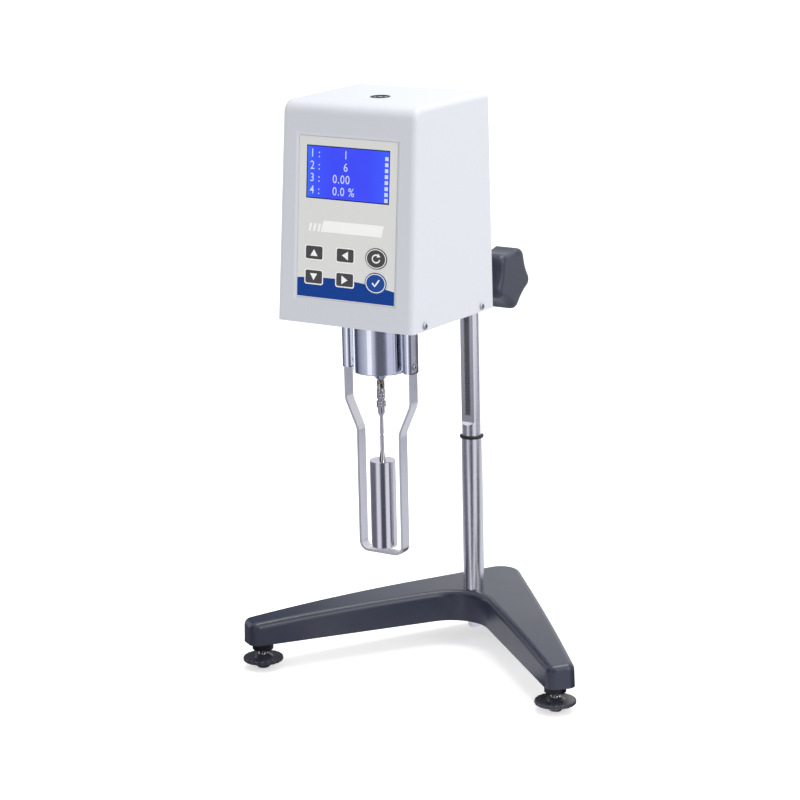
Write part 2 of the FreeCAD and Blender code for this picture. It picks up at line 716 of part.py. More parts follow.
def column_rack():
    """Toothed strip let into the column's slot, with a gap between teeth at the pinion's height."""
    pitch = math.pi * GEAR_MODULE
    slope = math.tan(math.radians(PRESSURE_ANGLE))
    root = FLAT_DISTANCE
    tip = RACK_PITCH_LINE + ADDENDUM * GEAR_MODULE
    half = pitch / 4 - TOOTH_BACKLASH / 4
    root_half = half + DEDENDUM * GEAR_MODULE * slope
    tip_half = half - ADDENDUM * GEAR_MODULE * slope
    outline = [(-FLAT_DISTANCE + RACK_DEPTH, RACK_START), (-root, RACK_START)]
    first = math.ceil((RACK_START + root_half - PINION_HEIGHT) / pitch - 0.5)
    last = math.floor((RACK_END - root_half - PINION_HEIGHT) / pitch - 0.5)
    for i in range(first, last + 1):
        centre = PINION_HEIGHT + (i + 0.5) * pitch
        outline += [(-root, centre - root_half), (-tip, centre - tip_half), (-tip, centre + tip_half),
                    (-root, centre + root_half)]
    outline += [(-root, RACK_END), (-FLAT_DISTANCE + RACK_DEPTH, RACK_END)]
    points = [Vector(y, z, 0) for y, z in outline]
    strip = along_x(prism(Part.makePolygon(points + points[:1]), -RACK_WIDTH / 2, RACK_WIDTH / 2))
    strip.translate(Vector(0, COLUMN_BACK, 0))
    return strip


def column_stop_ring():
    """Rubber ring in the groove above the column's step."""
    return Part.makeTorus(COLUMN_SLIDE_RADIUS + RING_CORD / 4, RING_CORD / 2 - PRESS_GAP,
                          Vector(0, COLUMN_BACK, STOP_HEIGHT + RING_CORD / 2))


def column_nut():
    """Washer and hexagonal nut that draw the column down from inside the casting."""
    boss_end = BASE_TOP - COLUMN_BOSS_DEPTH
    nut_top = boss_end - WASHER_THICKNESS
    washer = upright(WASHER_RADIUS, nut_top, boss_end)
    washer = washer.cut(upright(COLUMN_STUD_RADIUS + SEAT_GAP, nut_top - OVERRUN, boss_end + OVERRUN))
    nut = hexagon(NUT_ACROSS_FLATS, nut_top - NUT_HEIGHT, nut_top, COLUMN_STUD_RADIUS + RUN_GAP)
    return on_base(group([washer, nut]))


# Lift clamp: a block bored for the column and crossed by the pinion's shaft
def clamp_screw_heights():
    """Heights of the two socket screws in the back of the clamp."""
    return (CLAMP_LOW + CLAMP_HEIGHT / 4, CLAMP_LOW + 3 * CLAMP_HEIGHT / 4)


def across(radius, start, end):
    """Round bar along the pinion's axis between two X values."""
    return rod(radius, (start, PINION_BACK, PINION_HEIGHT), (end, PINION_BACK, PINION_HEIGHT))


def lift_clamp():
    """Machined block with column, pinion, arm and screw bores."""
    side = CLAMP_HALF_WIDTH
    corners = [(-side, CLAMP_FACE), (side, CLAMP_FACE), (side, CLAMP_REAR), (-side, CLAMP_REAR)]
    body = prism(rounded_outline(corners, [CLAMP_ROUND] * 4), CLAMP_LOW, CLAMP_LOW + CLAMP_HEIGHT)
    reach = CLAMP_HALF_WIDTH + OVERRUN
    pocket = PINION_WIDTH / 2 + PINION_ROOM
    cuts = [upright(COLUMN_SLIDE_RADIUS + RUN_GAP, CLAMP_LOW - OVERRUN, CLAMP_LOW + CLAMP_HEIGHT + OVERRUN,
                    0, COLUMN_BACK),
            across(PINION_SHAFT_RADIUS + RUN_GAP, -reach, reach),
            across(PITCH_RADIUS + ADDENDUM * GEAR_MODULE + PINION_ROOM, -pocket, pocket),
            rod(ARM_RADIUS + RUN_GAP, (0, CLAMP_FACE - OVERRUN, ARM_HEIGHT),
                (0, CLAMP_FACE + ARM_GRIP, ARM_HEIGHT))]
    for height in clamp_screw_heights():
        cuts.append(rod(SCREW_RADIUS + SEAT_GAP, (0, COLUMN_BACK, height), (0, CLAMP_REAR + OVERRUN, height)))
    return body.cut(cuts).removeSplitter()


def clamp_screws():
    """Socket screws that set how stiffly the clamp slides."""
    screws = []
    for height in clamp_screw_heights():
        tip = COLUMN_BACK + COLUMN_SLIDE_RADIUS + RUN_GAP
        shank = rod(SCREW_RADIUS, (0, tip, height), (0, CLAMP_REAR + SEAT_GAP, height))
        end = CLAMP_REAR + SCREW_HEAD_HEIGHT
        head = rod(SCREW_HEAD_RADIUS, (0, CLAMP_REAR + SEAT_GAP, height), (0, end, height))
        socket = rod(SCREW_RADIUS * 0.8, (0, end - SCREW_HEAD_HEIGHT / 2, height), (0, end + OVERRUN, height))
        screws.append(joined([shank, head]).cut(socket))
    return group(screws)


def pinion_outline():
    """Involute outline of the pinion about the origin, one tooth on +X, as an anticlockwise polygon."""
    base = PITCH_RADIUS * math.cos(math.radians(PRESSURE_ANGLE))
    root = PITCH_RADIUS - DEDENDUM * GEAR_MODULE
    tip = PITCH_RADIUS + ADDENDUM * GEAR_MODULE

    def roll(radius):
        """Involute angle at a radius."""
        angle = math.acos(min(1.0, base / radius))
        return math.tan(angle) - angle

    half = (math.pi / 2 * GEAR_MODULE - TOOTH_BACKLASH / 2) / (2 * PITCH_RADIUS) + roll(PITCH_RADIUS)
    steps = 4
    start = max(base, root)
    flank = [(start + (tip - start) * i / steps) for i in range(steps + 1)]
    points = []
    for tooth in range(PINION_TEETH):
        centre = 2 * math.pi * tooth / PINION_TEETH
        rising = [(root, -half)] if root < start else []
        rising += [(radius, roll(radius) - half) for radius in flank]
        falling = [(radius, -angle) for radius, angle in reversed(rising)]
        for radius, angle in rising + falling:
            points.append(Vector(radius * math.cos(centre + angle), radius * math.sin(centre + angle), 0))
    return points


def pinion_shaft():
    """Shaft cut with the pinion at its middle, turned down at the left end for its collar."""
    points = pinion_outline()
    gear = along_x(prism(Part.makePolygon(points + points[:1]), -PINION_WIDTH / 2, PINION_WIDTH / 2))
    gear.translate(Vector(0, PINION_BACK, PINION_HEIGHT))
    bar = across(PINION_SHAFT_RADIUS, -CLAMP_HALF_WIDTH - COLLAR_LENGTH, KNOB_BORE_END)
    return joined([bar, gear])


def shaft_collar():
    """Collar that keeps the shaft in the clamp at the left."""
    start = -CLAMP_HALF_WIDTH - COLLAR_LENGTH
    end = -CLAMP_HALF_WIDTH - SEAT_GAP
    ring = across(COLLAR_RADIUS, start, end)
    rim = [edge for edge in ring.Edges if edge.BoundBox.XMax < (start + end) / 2]
    ring = ring.makeChamfer(COLLAR_CHAMFER, rim)
    return ring.cut(across(PINION_SHAFT_RADIUS + PRESS_GAP, start - OVERRUN, end + OVERRUN))


def lift_knob():
    """Moulded five-lobed hand knob with a round skirt towards the clamp."""
    step = math.pi / KNOB_LOBES
    lobe_circle = KNOB_RADIUS - LOBE_RADIUS
    flat = lobe_circle * math.cos(step)
    valley = LOBE_RADIUS ** 2 - KNOB_VALLEY ** 2 - lobe_circle ** 2 + 2 * KNOB_VALLEY * flat
    valley = valley / (2 * (KNOB_VALLEY - flat - LOBE_RADIUS))
    valley_centre = KNOB_VALLEY + valley
    edges = []

    def polar(radius, angle):
        """Point at a radius and angle in the knob's own plane."""
        return Vector(radius * math.cos(angle), radius * math.sin(angle), 0)

    for i in range(KNOB_LOBES):
        middle = 2 * step * i + math.radians(KNOB_TURN)
        lobe = polar(lobe_circle, middle)
        before = polar(valley_centre, middle - step)
        after = polar(valley_centre, middle + step)
        entry = lobe + (before - lobe).normalize() * LOBE_RADIUS
        leave = lobe + (after - lobe).normalize() * LOBE_RADIUS
        following = polar(lobe_circle, middle + 2 * step)
        next_entry = following + (after - following).normalize() * LOBE_RADIUS
        edges.append(Part.Arc(entry, polar(KNOB_RADIUS, middle), leave).toShape())
        edges.append(Part.Arc(leave, polar(KNOB_VALLEY, middle + step), next_entry).toShape())
    end = KNOB_FACE + KNOB_LENGTH
    grip = prism(Part.Wire(edges), KNOB_FACE, end)
    grip = grip.makeFillet(KNOB_ROUND, [edge for edge in grip.Edges if edge.BoundBox.ZMin > end - KNOB_ROUND])
    skirt = upright(KNOB_SKIRT_RADIUS, KNOB_START, KNOB_FACE)
    hollow = upright(KNOB_SKIRT_RADIUS - KNOB_SKIRT_WALL, KNOB_START - OVERRUN, KNOB_FACE - KNOB_SKIRT_WALL)
    hollow = hollow.cut(upright(PINION_SHAFT_RADIUS + KNOB_HUB_WALL, KNOB_START - 2 * OVERRUN, KNOB_FACE))
    bore = upright(PINION_SHAFT_RADIUS + PRESS_GAP, KNOB_START - OVERRUN, KNOB_BORE_END)
    knob = along_x(joined([grip, skirt]).cut([hollow, bore]))
    knob.translate(Vector(0, PINION_BACK, PINION_HEIGHT))
    return knob


# Arm from the clamp into the head, bolted through the upright chassis plate
def arm_rod():
    """Bar with a flange against the chassis plate and a threaded end through it."""
    seat = CHASSIS_BACK + CHASSIS_THICKNESS
    flange = seat + ARM_FLANGE_THICKNESS
    deep = CLAMP_FACE + ARM_GRIP - SEAT_GAP
    tip = CHASSIS_BACK - ARM_NUT_HEIGHT - ARM_STUD_PROUD
    profile = [(0, deep), (ARM_RADIUS, deep), (ARM_RADIUS, flange), (ARM_FLANGE_RADIUS, flange),
               (ARM_FLANGE_RADIUS, seat), (ARM_STUD_RADIUS, seat), (ARM_STUD_RADIUS, tip), (0, tip)]
    bar = along_y(turned([(r, -y) for r, y in profile]))
    bar.translate(Vector(0, 0, ARM_HEIGHT))
    return bar


def arm_nut():
    """Nut on the arm's threaded end, in front of the chassis plate."""
    nut = hexagon(ARM_NUT_FLATS, -CHASSIS_BACK, -CHASSIS_BACK + ARM_NUT_HEIGHT, ARM_STUD_RADIUS + RUN_GAP)
    nut = along_y(nut)
    nut.translate(Vector(0, 0, ARM_HEIGHT))
    return nut


# Head cover: a moulded hood with a leaning front, open underneath
def hood(inset, edge_radius):
    """Solid bounded by the hood's outside moved inwards, sharp at the bottom rim and at the back."""
    slope = math.sqrt(1 + LEAN * LEAN)
    low = HEAD_BOTTOM - (OVERRUN if inset else 0)
    top = HEAD_TOP - inset

    def front(height):
        """Y of the front face at a height."""
        return -HEAD_FRONT + (height - HEAD_BOTTOM) * LEAN + inset * slope

    corners = [(front(low), low), (HEAD_REAR - inset, low), (HEAD_REAR - inset, top), (front(top), top)]
    side_view = rounded_outline(corners, [0, 0, 0, BROW_RADIUS - inset])
    wide = HEAD_HALF_BOTTOM + HEAD_REAR
    body = along_x(prism(side_view, -wide, wide))
    shift = inset * math.sqrt(1 + TAPER * TAPER)
    foot_half = HEAD_HALF_BOTTOM - (low - HEAD_BOTTOM) * TAPER - shift
    above = top + OVERRUN
    top_half = HEAD_HALF_BOTTOM - (above - HEAD_BOTTOM) * TAPER - shift
    front_view = [Vector(-foot_half, low, 0), Vector(foot_half, low, 0), Vector(top_half, above, 0),
                  Vector(-top_half, above, 0)]
    body = body.common(along_y(prism(Part.makePolygon(front_view + front_view[:1]), -wide, wide)))
    sides = []
    for edge in body.Edges:
        middle = edge.valueAt((edge.FirstParameter + edge.LastParameter) / 2)
        crosses = edge.BoundBox.XLength > top_half
        beside = abs(middle.x) > top_half - OVERRUN and not crosses
        if beside and middle.y < HEAD_REAR - inset - OVERRUN and edge.BoundBox.ZMax > low + OVERRUN:
            sides.append(edge)
    return body.makeFillet(edge_radius, sides)


def key_outline(width, height, round_key):
    """Outline of a key about the origin: an ellipse, or a square with rounded corners."""
    if round_key:
        return Part.Wire([Part.Ellipse(Vector(0, 0, 0), width / 2, height / 2).toShape()])
    x, y = width / 2, height / 2
    return rounded_outline([(-x, -y), (x, -y), (x, y), (-x, y)], [KEY_CORNER] * 4)


def key_solid(place, grow, low, high):
    """Prism of a key's outline, grown all round, between two distances from the front face."""
    side, up, round_key = place
    width, height = (ROUND_KEY_WIDTH, ROUND_KEY_HEIGHT) if round_key else (KEY_WIDTH, KEY_HEIGHT)
    body = prism(key_outline(width + 2 * grow, height + 2 * grow, round_key), low, high)
    body.translate(Vector(side, up, 0))
    return body


KEYS = {"key_up": (KEY_LEFT, KEY_ROW_HIGH, False), "key_left": (KEY_MIDDLE, KEY_ROW_HIGH, False),
        "key_down": (KEY_LEFT, KEY_ROW_LOW, False), "key_right": (KEY_MIDDLE, KEY_ROW_LOW, False),
        "key_reset": (KEY_RIGHT, KEY_ROW_HIGH, True), "key_ok": (KEY_RIGHT, KEY_ROW_LOW, True)}


def sheet_outline(inset):
    """Outline of the label's recess on the front, moved inwards."""
    half = RECESS_HALF - inset
    corners = [Vector(-half, RECESS_LOW + inset, 0), Vector(half, RECESS_LOW + inset, 0),
               Vector(half, RECESS_HIGH - inset, 0), Vector(-half, RECESS_HIGH - inset, 0)]
    return Part.makePolygon(corners + corners[:1])


def head_cover():
    """Hood with the label recess, window, key holes, level hole, rear opening and screw holes."""
    shell = hood(0, EDGE_RADIUS).cut(hood(COVER_WALL, EDGE_RADIUS - COVER_WALL + INNER_ROUND))
    mouth = sheet_outline(0)
    floor = sheet_outline(RECESS_BEVEL)
    floor.translate(Vector(0, 0, -RECESS_DEPTH))
    recess = Part.makeLoft([floor, mouth], True, True).fuse(prism(mouth, 0, DEEP_OVERRUN))
    inside = -COVER_WALL - DEEP_OVERRUN
    half = WINDOW_HALF + SEAT_GAP
    window = block(-half, half, WINDOW_LOW - SEAT_GAP, WINDOW_HIGH + SEAT_GAP, inside, 0)
    cuts = [on_front(recess), on_front(window)]
    for place in KEYS.values():
        cuts.append(on_front(key_solid(place, KEY_GAP, inside, 0)))
    cuts.append(upright(LEVEL_RADIUS + SEAT_GAP, HEAD_TOP - COVER_WALL - DEEP_OVERRUN,
                        HEAD_TOP + DEEP_OVERRUN, 0, LEVEL_BACK))
    rim = PANEL_HALF - PANEL_RIM
    cuts.append(block(-rim, rim, HEAD_REAR - COVER_WALL - DEEP_OVERRUN, HEAD_REAR + DEEP_OVERRUN,
                      HEAD_BOTTOM + PANEL_LOW + PANEL_RIM, HEAD_BOTTOM + PANEL_HIGH - PANEL_RIM))
    for start, end in side_screw_axes(COVER_WALL + OVERRUN, OVERRUN):
        cuts.append(rod(M3_RADIUS + SEAT_GAP, start, end))
    for x, z in panel_screw_places():
        cuts.append(rod(M3_RADIUS + SEAT_GAP, (x, HEAD_REAR - COVER_WALL - OVERRUN, z),
                        (x, HEAD_REAR + OVERRUN, z)))
    return shell.cut(cuts)


def side_screw_axes(inner, outer):
    """Ends of each side screw's hole, this far inside and outside the cover's wall, square to it."""
    wall = HEAD_HALF_BOTTOM - SIDE_SCREW_HEIGHT * TAPER
    height = HEAD_BOTTOM + SIDE_SCREW_HEIGHT
    axes = []
    for side in (-1, 1):
        for y in (SIDE_SCREW_FRONT, SIDE_SCREW_BACK):
            axes.append(((side * (wall - inner), y, height - inner * TAPER),
                         (side * (wall + outer), y, height + outer * TAPER)))
    return axes


def panel_screw_places():
    """X and height of the rear panel's screws."""
    edge = PANEL_RIM / 2
    return [(side * (PANEL_HALF - edge), height) for side in (-1, 1)
            for height in (HEAD_BOTTOM + PANEL_LOW + edge, HEAD_BOTTOM + PANEL_HIGH - edge)]


def pan_screw(reach, seat, way):
    """Cross-slotted screw with its head seated at a point and its shank against the outward direction."""
    shank = upright(M3_RADIUS, -reach, 0)
    head = upright(M3_HEAD_RADIUS, 0, M3_HEAD_HEIGHT)
    middle = M3_HEAD_HEIGHT / 2
    head = head.makeFillet(middle * 0.9, [edge for edge in head.Edges if edge.BoundBox.ZMin > middle])
    above = M3_HEAD_HEIGHT + OVERRUN
    cross = [block(-CROSS_REACH, CROSS_REACH, -CROSS_HALF, CROSS_HALF, middle, above),
             block(-CROSS_HALF, CROSS_HALF, -CROSS_REACH, CROSS_REACH, middle, above)]
    piece = joined([shank, head]).cut(cross)
    piece.Placement = Placement(Vector(*seat), Rotation(Vector(0, 0, 1), way)).multiply(piece.Placement)
    return piece


def head_screws():
    """Pan-head screws: four in the cover's sides, four in the rear panel and two through the guard."""
    screws = []
    for inner, outer in side_screw_axes(0, OVERRUN):
        screws.append(pan_screw(M3_REACH, inner, Vector(*outer) - Vector(*inner)))
    for x, z in panel_screw_places():
        screws.append(pan_screw(PANEL_THICKNESS + COVER_WALL, (x, PANEL_FACE, z), Vector(0, 1, 0)))
    for side in (-1, 1):
        seat = (side * GUARD_HALF_UPPER, 0, GUARD_SCREW_HEIGHT)
        screws.append(pan_screw(GUARD_THICKNESS + GUARD_SCREW_REACH, seat, Vector(side, 0, 0)))
    return group(screws)


def bottom_plate():
    """Plate inside the cover's mouth with a rail down each side for the cover screws."""
    half = inner_half(RAIL_TOP) - COVER_GAP
    front = inner_front(RAIL_TOP) + COVER_GAP
    back = HEAD_REAR - COVER_WALL - COVER_GAP
    corners = [(-half, front), (half, front), (half, back), (-half, back)]
    plate = prism(rounded_outline(corners, [EDGE_RADIUS] * 4), PLATE_LOW, PLATE_TOP)
    inner = half - RAIL_WIDTH
    rails = [block(-half, -inner, front + EDGE_RADIUS, back - EDGE_RADIUS, PLATE_LOW, RAIL_TOP),
             block(inner, half, front + EDGE_RADIUS, back - EDGE_RADIUS, PLATE_LOW, RAIL_TOP)]
    body = joined([plate] + rails)
    cuts = [upright(CUP_RADIUS + RUN_GAP, PLATE_LOW - OVERRUN, PLATE_TOP + OVERRUN)]
    for start, end in side_screw_axes(M3_REACH + SEAT_GAP, OVERRUN):
        cuts.append(rod(M3_RADIUS + SEAT_GAP, start, end))
    return body.cut(cuts)


def front_label():
    """Printed label in the recess with openings for the display and the keys."""
    half = RECESS_HALF - RECESS_BEVEL - SEAT_GAP
    low = RECESS_LOW + RECESS_BEVEL + SEAT_GAP
    high = RECESS_HIGH - RECESS_BEVEL - SEAT_GAP
    face = -RECESS_DEPTH + LABEL_THICKNESS
    sheet = block(-half, half, low, high, -RECESS_DEPTH, face)
    near, far = -RECESS_DEPTH - OVERRUN, face + OVERRUN
    cuts = [block(-WINDOW_HALF, WINDOW_HALF, WINDOW_LOW, WINDOW_HIGH, near, far)]
    for place in KEYS.values():
        cuts.append(key_solid(place, KEY_GAP, near, far))
    return on_front(sheet.cut(cuts))


def display_window():
    """Clear window behind the label's opening."""
    pane = block(-WINDOW_HALF, WINDOW_HALF, WINDOW_LOW, WINDOW_HIGH, -MODULE_FRONT, -RECESS_DEPTH + SEAT_GAP)
    return on_front(pane)


def key(place):
    """Key cap with a lip behind the cover's wall and a stem towards its switch."""
    face = -RECESS_DEPTH + LABEL_THICKNESS + KEY_PROUD
    lip = -COVER_WALL - SEAT_GAP / 2
    back = lip - KEY_LIP_THICKNESS
    switch_face = -BOARD_SETBACK + SWITCH_HEIGHT
    cap = key_solid(place, 0, lip, face)
    flange = key_solid(place, KEY_LIP, back, lip)
    side, up, _ = place
    stem = block(side - KEY_STEM, side + KEY_STEM, up - KEY_STEM, up + KEY_STEM,
                 switch_face + KEY_TRAVEL, back)
    return on_front(joined([cap, flange, stem]))


def front_board():
    """Circuit board on posts behind the front wall, with the display module and a switch under each key."""
    margin = MODULE_MARGIN
    back = -BOARD_SETBACK - BOARD_THICKNESS
    pieces = [block(-BOARD_HALF, BOARD_HALF, BOARD_LOW, BOARD_HIGH, back, -BOARD_SETBACK),
              block(-WINDOW_HALF - margin, WINDOW_HALF + margin, WINDOW_LOW - margin, WINDOW_HIGH + margin,
                    -BOARD_SETBACK, -MODULE_FRONT)]
    for side, up, _ in KEYS.values():
        pieces.append(block(side - SWITCH_HALF, side + SWITCH_HALF, up - SWITCH_HALF, up + SWITCH_HALF,
                            -BOARD_SETBACK, -BOARD_SETBACK + SWITCH_HEIGHT))
    post = STANDOFF / 2
    for side in (post - BOARD_HALF, BOARD_HALF - post):
        for up in (BOARD_LOW + post, (BOARD_LOW + BOARD_HIGH) / 2, BOARD_HIGH - post):
            pieces.append(upright(post, -BOARD_SETBACK, -COVER_WALL, side, up))
    return on_front(joined(pieces))


def level_ring():
    """Cup of the bubble level, let into the cover's top."""
    low = HEAD_TOP - LEVEL_DEPTH
    rim = HEAD_TOP + LEVEL_PROUD
    body = upright(LEVEL_RADIUS, low, rim, 0, LEVEL_BACK)
    return body.cut(upright(LEVEL_RADIUS - LEVEL_RIM, low + LEVEL_RIM, rim + OVERRUN, 0, LEVEL_BACK))


def level_glass():
    """Filled vial inside the level's cup, with a slightly crowned top."""
    low = HEAD_TOP - LEVEL_DEPTH + LEVEL_RIM
    radius = LEVEL_RADIUS - LEVEL_RIM - RUN_GAP
    vial = upright(radius, low, HEAD_TOP, 0, LEVEL_BACK)
    crown = [edge for edge in vial.Edges if edge.BoundBox.ZMin > HEAD_TOP - LEVEL_CROWN]
    return vial.makeFillet(LEVEL_CROWN, crown)


# Rear of the head: upright chassis plate, panel, switch, inlet and data port
def chassis_plate():
    """Folded plate standing on the bottom plate, carrying the arm and the main board."""
    back = CHASSIS_BACK + CHASSIS_THICKNESS
    low, high = PLATE_TOP, PLATE_TOP + CHASSIS_HEIGHT
    standing = block(-CHASSIS_HALF, CHASSIS_HALF, CHASSIS_BACK, back, low, high)
    foot = block(-CHASSIS_HALF, CHASSIS_HALF, CHASSIS_BACK - CHASSIS_FOOT, CHASSIS_BACK, low,
                 low + CHASSIS_THICKNESS)
    body = joined([standing, foot])
    corners = [edge for edge in body.Edges if edge.BoundBox.ZMin > high - CHASSIS_THICKNESS
               and edge.BoundBox.YLength > CHASSIS_THICKNESS / 2]
    near, far = CHASSIS_BACK - OVERRUN, back + OVERRUN
    cuts = [rod(ARM_STUD_RADIUS + RUN_GAP, (0, near, ARM_HEIGHT), (0, far, ARM_HEIGHT)),
            rear_box(SWITCH_SIDE, SWITCH_UP, ROCKER_HALF_WIDTH + BEZEL_MARGIN,
                     ROCKER_HALF_HEIGHT + BEZEL_MARGIN, near, far),
            rear_box(INLET_SIDE, INLET_UP, INLET_RADIUS + CHASSIS_ROOM, INLET_RADIUS + CHASSIS_ROOM,
                     near, far),
            rear_box(PORT_SIDE, PORT_UP, PORT_HALF_WIDTH + CHASSIS_ROOM, PORT_HALF_HEIGHT + CHASSIS_ROOM,
                     near, far)]
    return body.makeFillet(CHASSIS_ROUND, corners).cut(cuts)


def rear_box(side, up, half_width, half_height, near, far):
    """Box centred on a place on the rear panel, between two Y values."""
    low, high = HEAD_BOTTOM + up - half_height, HEAD_BOTTOM + up + half_height
    return block(side - half_width, side + half_width, near, far, low, high)


def rear_panel():
    """Painted plate over the cover's rear opening."""
    low = HEAD_BOTTOM + PANEL_LOW
    high = HEAD_BOTTOM + PANEL_HIGH
    corners = [(-PANEL_HALF, low), (PANEL_HALF, low), (PANEL_HALF, high), (-PANEL_HALF, high)]
    plate = along_y(prism(rounded_outline(corners, [PANEL_ROUND] * 4), -PANEL_FACE, -HEAD_REAR))
    near, far = HEAD_REAR - OVERRUN, PANEL_FACE + OVERRUN
    inlet = HEAD_BOTTOM + INLET_UP
    wall = SWITCH_WALL + SEAT_GAP
    cuts = [rod(ARM_RADIUS + SEAT_GAP, (0, near, ARM_HEIGHT), (0, far, ARM_HEIGHT)),
            rear_box(SWITCH_SIDE, SWITCH_UP, ROCKER_HALF_WIDTH + wall, ROCKER_HALF_HEIGHT + wall, near, far),
            rod(INLET_RADIUS + SEAT_GAP, (INLET_SIDE, near, inlet), (INLET_SIDE, far, inlet)),
            rear_box(PORT_SIDE, PORT_UP, PORT_SHELL_WIDTH + SEAT_GAP, PORT_SHELL_HEIGHT + SEAT_GAP,
                     near, far)]
    for x, z in panel_screw_places():
        cuts.append(rod(M3_RADIUS + SEAT_GAP, (x, near, z), (x, far, z)))
    return plate.cut(cuts)


def rocker_axle():
    """Y and Z of the rocker's axle."""
    return PANEL_FACE - AXLE_DEPTH, HEAD_BOTTOM + SWITCH_UP


def power_switch():
    """Switch body behind the panel with a bezel frame on its face."""
    frame = rear_box(SWITCH_SIDE, SWITCH_UP, ROCKER_HALF_WIDTH + BEZEL_MARGIN,
                     ROCKER_HALF_HEIGHT + BEZEL_MARGIN, PANEL_FACE, PANEL_FACE + BEZEL_HEIGHT)
    body = rear_box(SWITCH_SIDE, SWITCH_UP, ROCKER_HALF_WIDTH + SWITCH_WALL, ROCKER_HALF_HEIGHT + SWITCH_WALL,
                    PANEL_FACE - SWITCH_BODY_DEPTH, PANEL_FACE)
    pocket = rear_box(SWITCH_SIDE, SWITCH_UP, ROCKER_HALF_WIDTH + KEY_GAP, ROCKER_HALF_HEIGHT + KEY_GAP,
                      PANEL_FACE - SWITCH_BODY_DEPTH + SWITCH_WALL, PANEL_FACE + BEZEL_HEIGHT + OVERRUN)
    y, z = rocker_axle()
    reach = ROCKER_HALF_WIDTH + AXLE_STUB
    seat = rod(AXLE_RADIUS + RUN_GAP, (SWITCH_SIDE - reach, y, z), (SWITCH_SIDE + reach, y, z))
    return joined([frame, body]).cut([pocket, seat])


def power_rocker():
    """Rocker with a dished face and axle stubs, tilted to its off position."""
    y, z = rocker_axle()
    edge = ROCKER_HALF_HEIGHT - ROCKER_CLEARANCE
    outline = [(-ROCKER_DEPTH, -edge), (ROCKER_EDGE_HEIGHT, -edge), (ROCKER_DISH_HEIGHT, 0),
               (ROCKER_EDGE_HEIGHT, edge), (-ROCKER_DEPTH, edge)]
    points = [Vector(out, up, 0) for out, up in reversed(outline)]
    wing = along_x(prism(Part.makePolygon(points + points[:1]), -ROCKER_HALF_WIDTH, ROCKER_HALF_WIDTH))
    reach = ROCKER_HALF_WIDTH + AXLE_STUB - RUN_GAP
    wing = joined([wing, rod(AXLE_RADIUS, (-reach, 0, 0), (reach, 0, 0))])
    wing.rotate(Vector(0, 0, 0), Vector(1, 0, 0), -ROCKER_TILT)
    wing.translate(Vector(SWITCH_SIDE, y, z))
    return wing


def power_inlet():
    """Round low-voltage socket with its centre pin; it has no lead."""
    z = HEAD_BOTTOM + INLET_UP
    face = PANEL_FACE + INLET_PROUD
    deep = PANEL_FACE - INLET_DEPTH

    def along(radius, start, end):
        """Round bar on the socket's axis between two Y values."""
        return rod(radius, (INLET_SIDE, start, z), (INLET_SIDE, end, z))

    barrel = along(INLET_RADIUS, deep, face)
    collar = along(INLET_RADIUS + INLET_COLLAR, PANEL_FACE, face)
    bore = along(INLET_BORE, deep + INLET_FLOOR, face + OVERRUN)
    pin = along(INLET_PIN, deep + INLET_FLOOR / 2, face - INLET_PIN_DROP)
    return joined([joined([barrel, collar]).cut(bore), pin])


def data_port():
    """Nine-way D-shaped data socket with its flange behind the panel."""
    z = HEAD_BOTTOM + PORT_UP
    flange = rear_box(PORT_SIDE, PORT_UP, PORT_HALF_WIDTH, PORT_HALF_HEIGHT,
                      HEAD_REAR - PORT_FLANGE, HEAD_REAR)
    wide = PORT_SHELL_WIDTH - SEAT_GAP
    narrow = wide - PORT_SHELL_SLANT
    tall = PORT_SHELL_HEIGHT - SEAT_GAP
    corners = [(PORT_SIDE - narrow, z - tall), (PORT_SIDE + narrow, z - tall), (PORT_SIDE + wide, z + tall),
               (PORT_SIDE - wide, z + tall)]
    outline = rounded_outline(corners, [PORT_SHELL_ROUND] * 4)
    face = PANEL_FACE + PORT_SHELL_PROUD
    shell = along_y(prism(outline, -face, -HEAD_REAR + PORT_SHELL_DEPTH))
    holes = []
    for row, count in ((PORT_ROW_HALF, PORT_PINS_LONG), (-PORT_ROW_HALF, PORT_PINS_SHORT)):
        for i in range(count):
            x = PORT_SIDE + PORT_PIN_PITCH * (i - (count - 1) / 2)
            holes.append(rod(PORT_PIN_RADIUS, (x, PANEL_FACE, z + row), (x, face + OVERRUN, z + row)))
    return joined([flange, shell]).cut(holes)


# Under the head: polished bearing cup, its nose, and the guard hung from two brackets
def bearing_cup():
    """Deep-drawn cup through the bottom plate, hung by a flange above it."""
    hole = NOSE_SPIGOT_RADIUS + RUN_GAP
    flange_top = PLATE_TOP + CUP_FLANGE_THICKNESS
    floor = CUP_BOTTOM + CUP_FLOOR
    profile = [(hole, CUP_BOTTOM), (CUP_RADIUS - CUP_CHAMFER, CUP_BOTTOM),
               (CUP_RADIUS, CUP_BOTTOM + CUP_CHAMFER), (CUP_RADIUS, PLATE_TOP),
               (CUP_FLANGE_RADIUS, PLATE_TOP), (CUP_FLANGE_RADIUS, flange_top),
               (CUP_RADIUS - CUP_WALL, flange_top), (CUP_RADIUS - CUP_WALL, floor), (hole, floor)]
    return turned(profile)


def nose_cone():
    """Cone under the cup that shields the lower bearing, with a spigot in the cup's floor."""
    bore = SHAFT_RADIUS + NOSE_BORE_GAP
    floor = CUP_BOTTOM + CUP_FLOOR
    profile = [(bore, NOSE_LOW), (NOSE_END_RADIUS, NOSE_LOW), (NOSE_TOP_RADIUS, CUP_BOTTOM - NOSE_BAND),
               (NOSE_TOP_RADIUS, CUP_BOTTOM), (NOSE_SPIGOT_RADIUS, CUP_BOTTOM), (NOSE_SPIGOT_RADIUS, floor),
               (bore, floor)]
    return turned(profile)


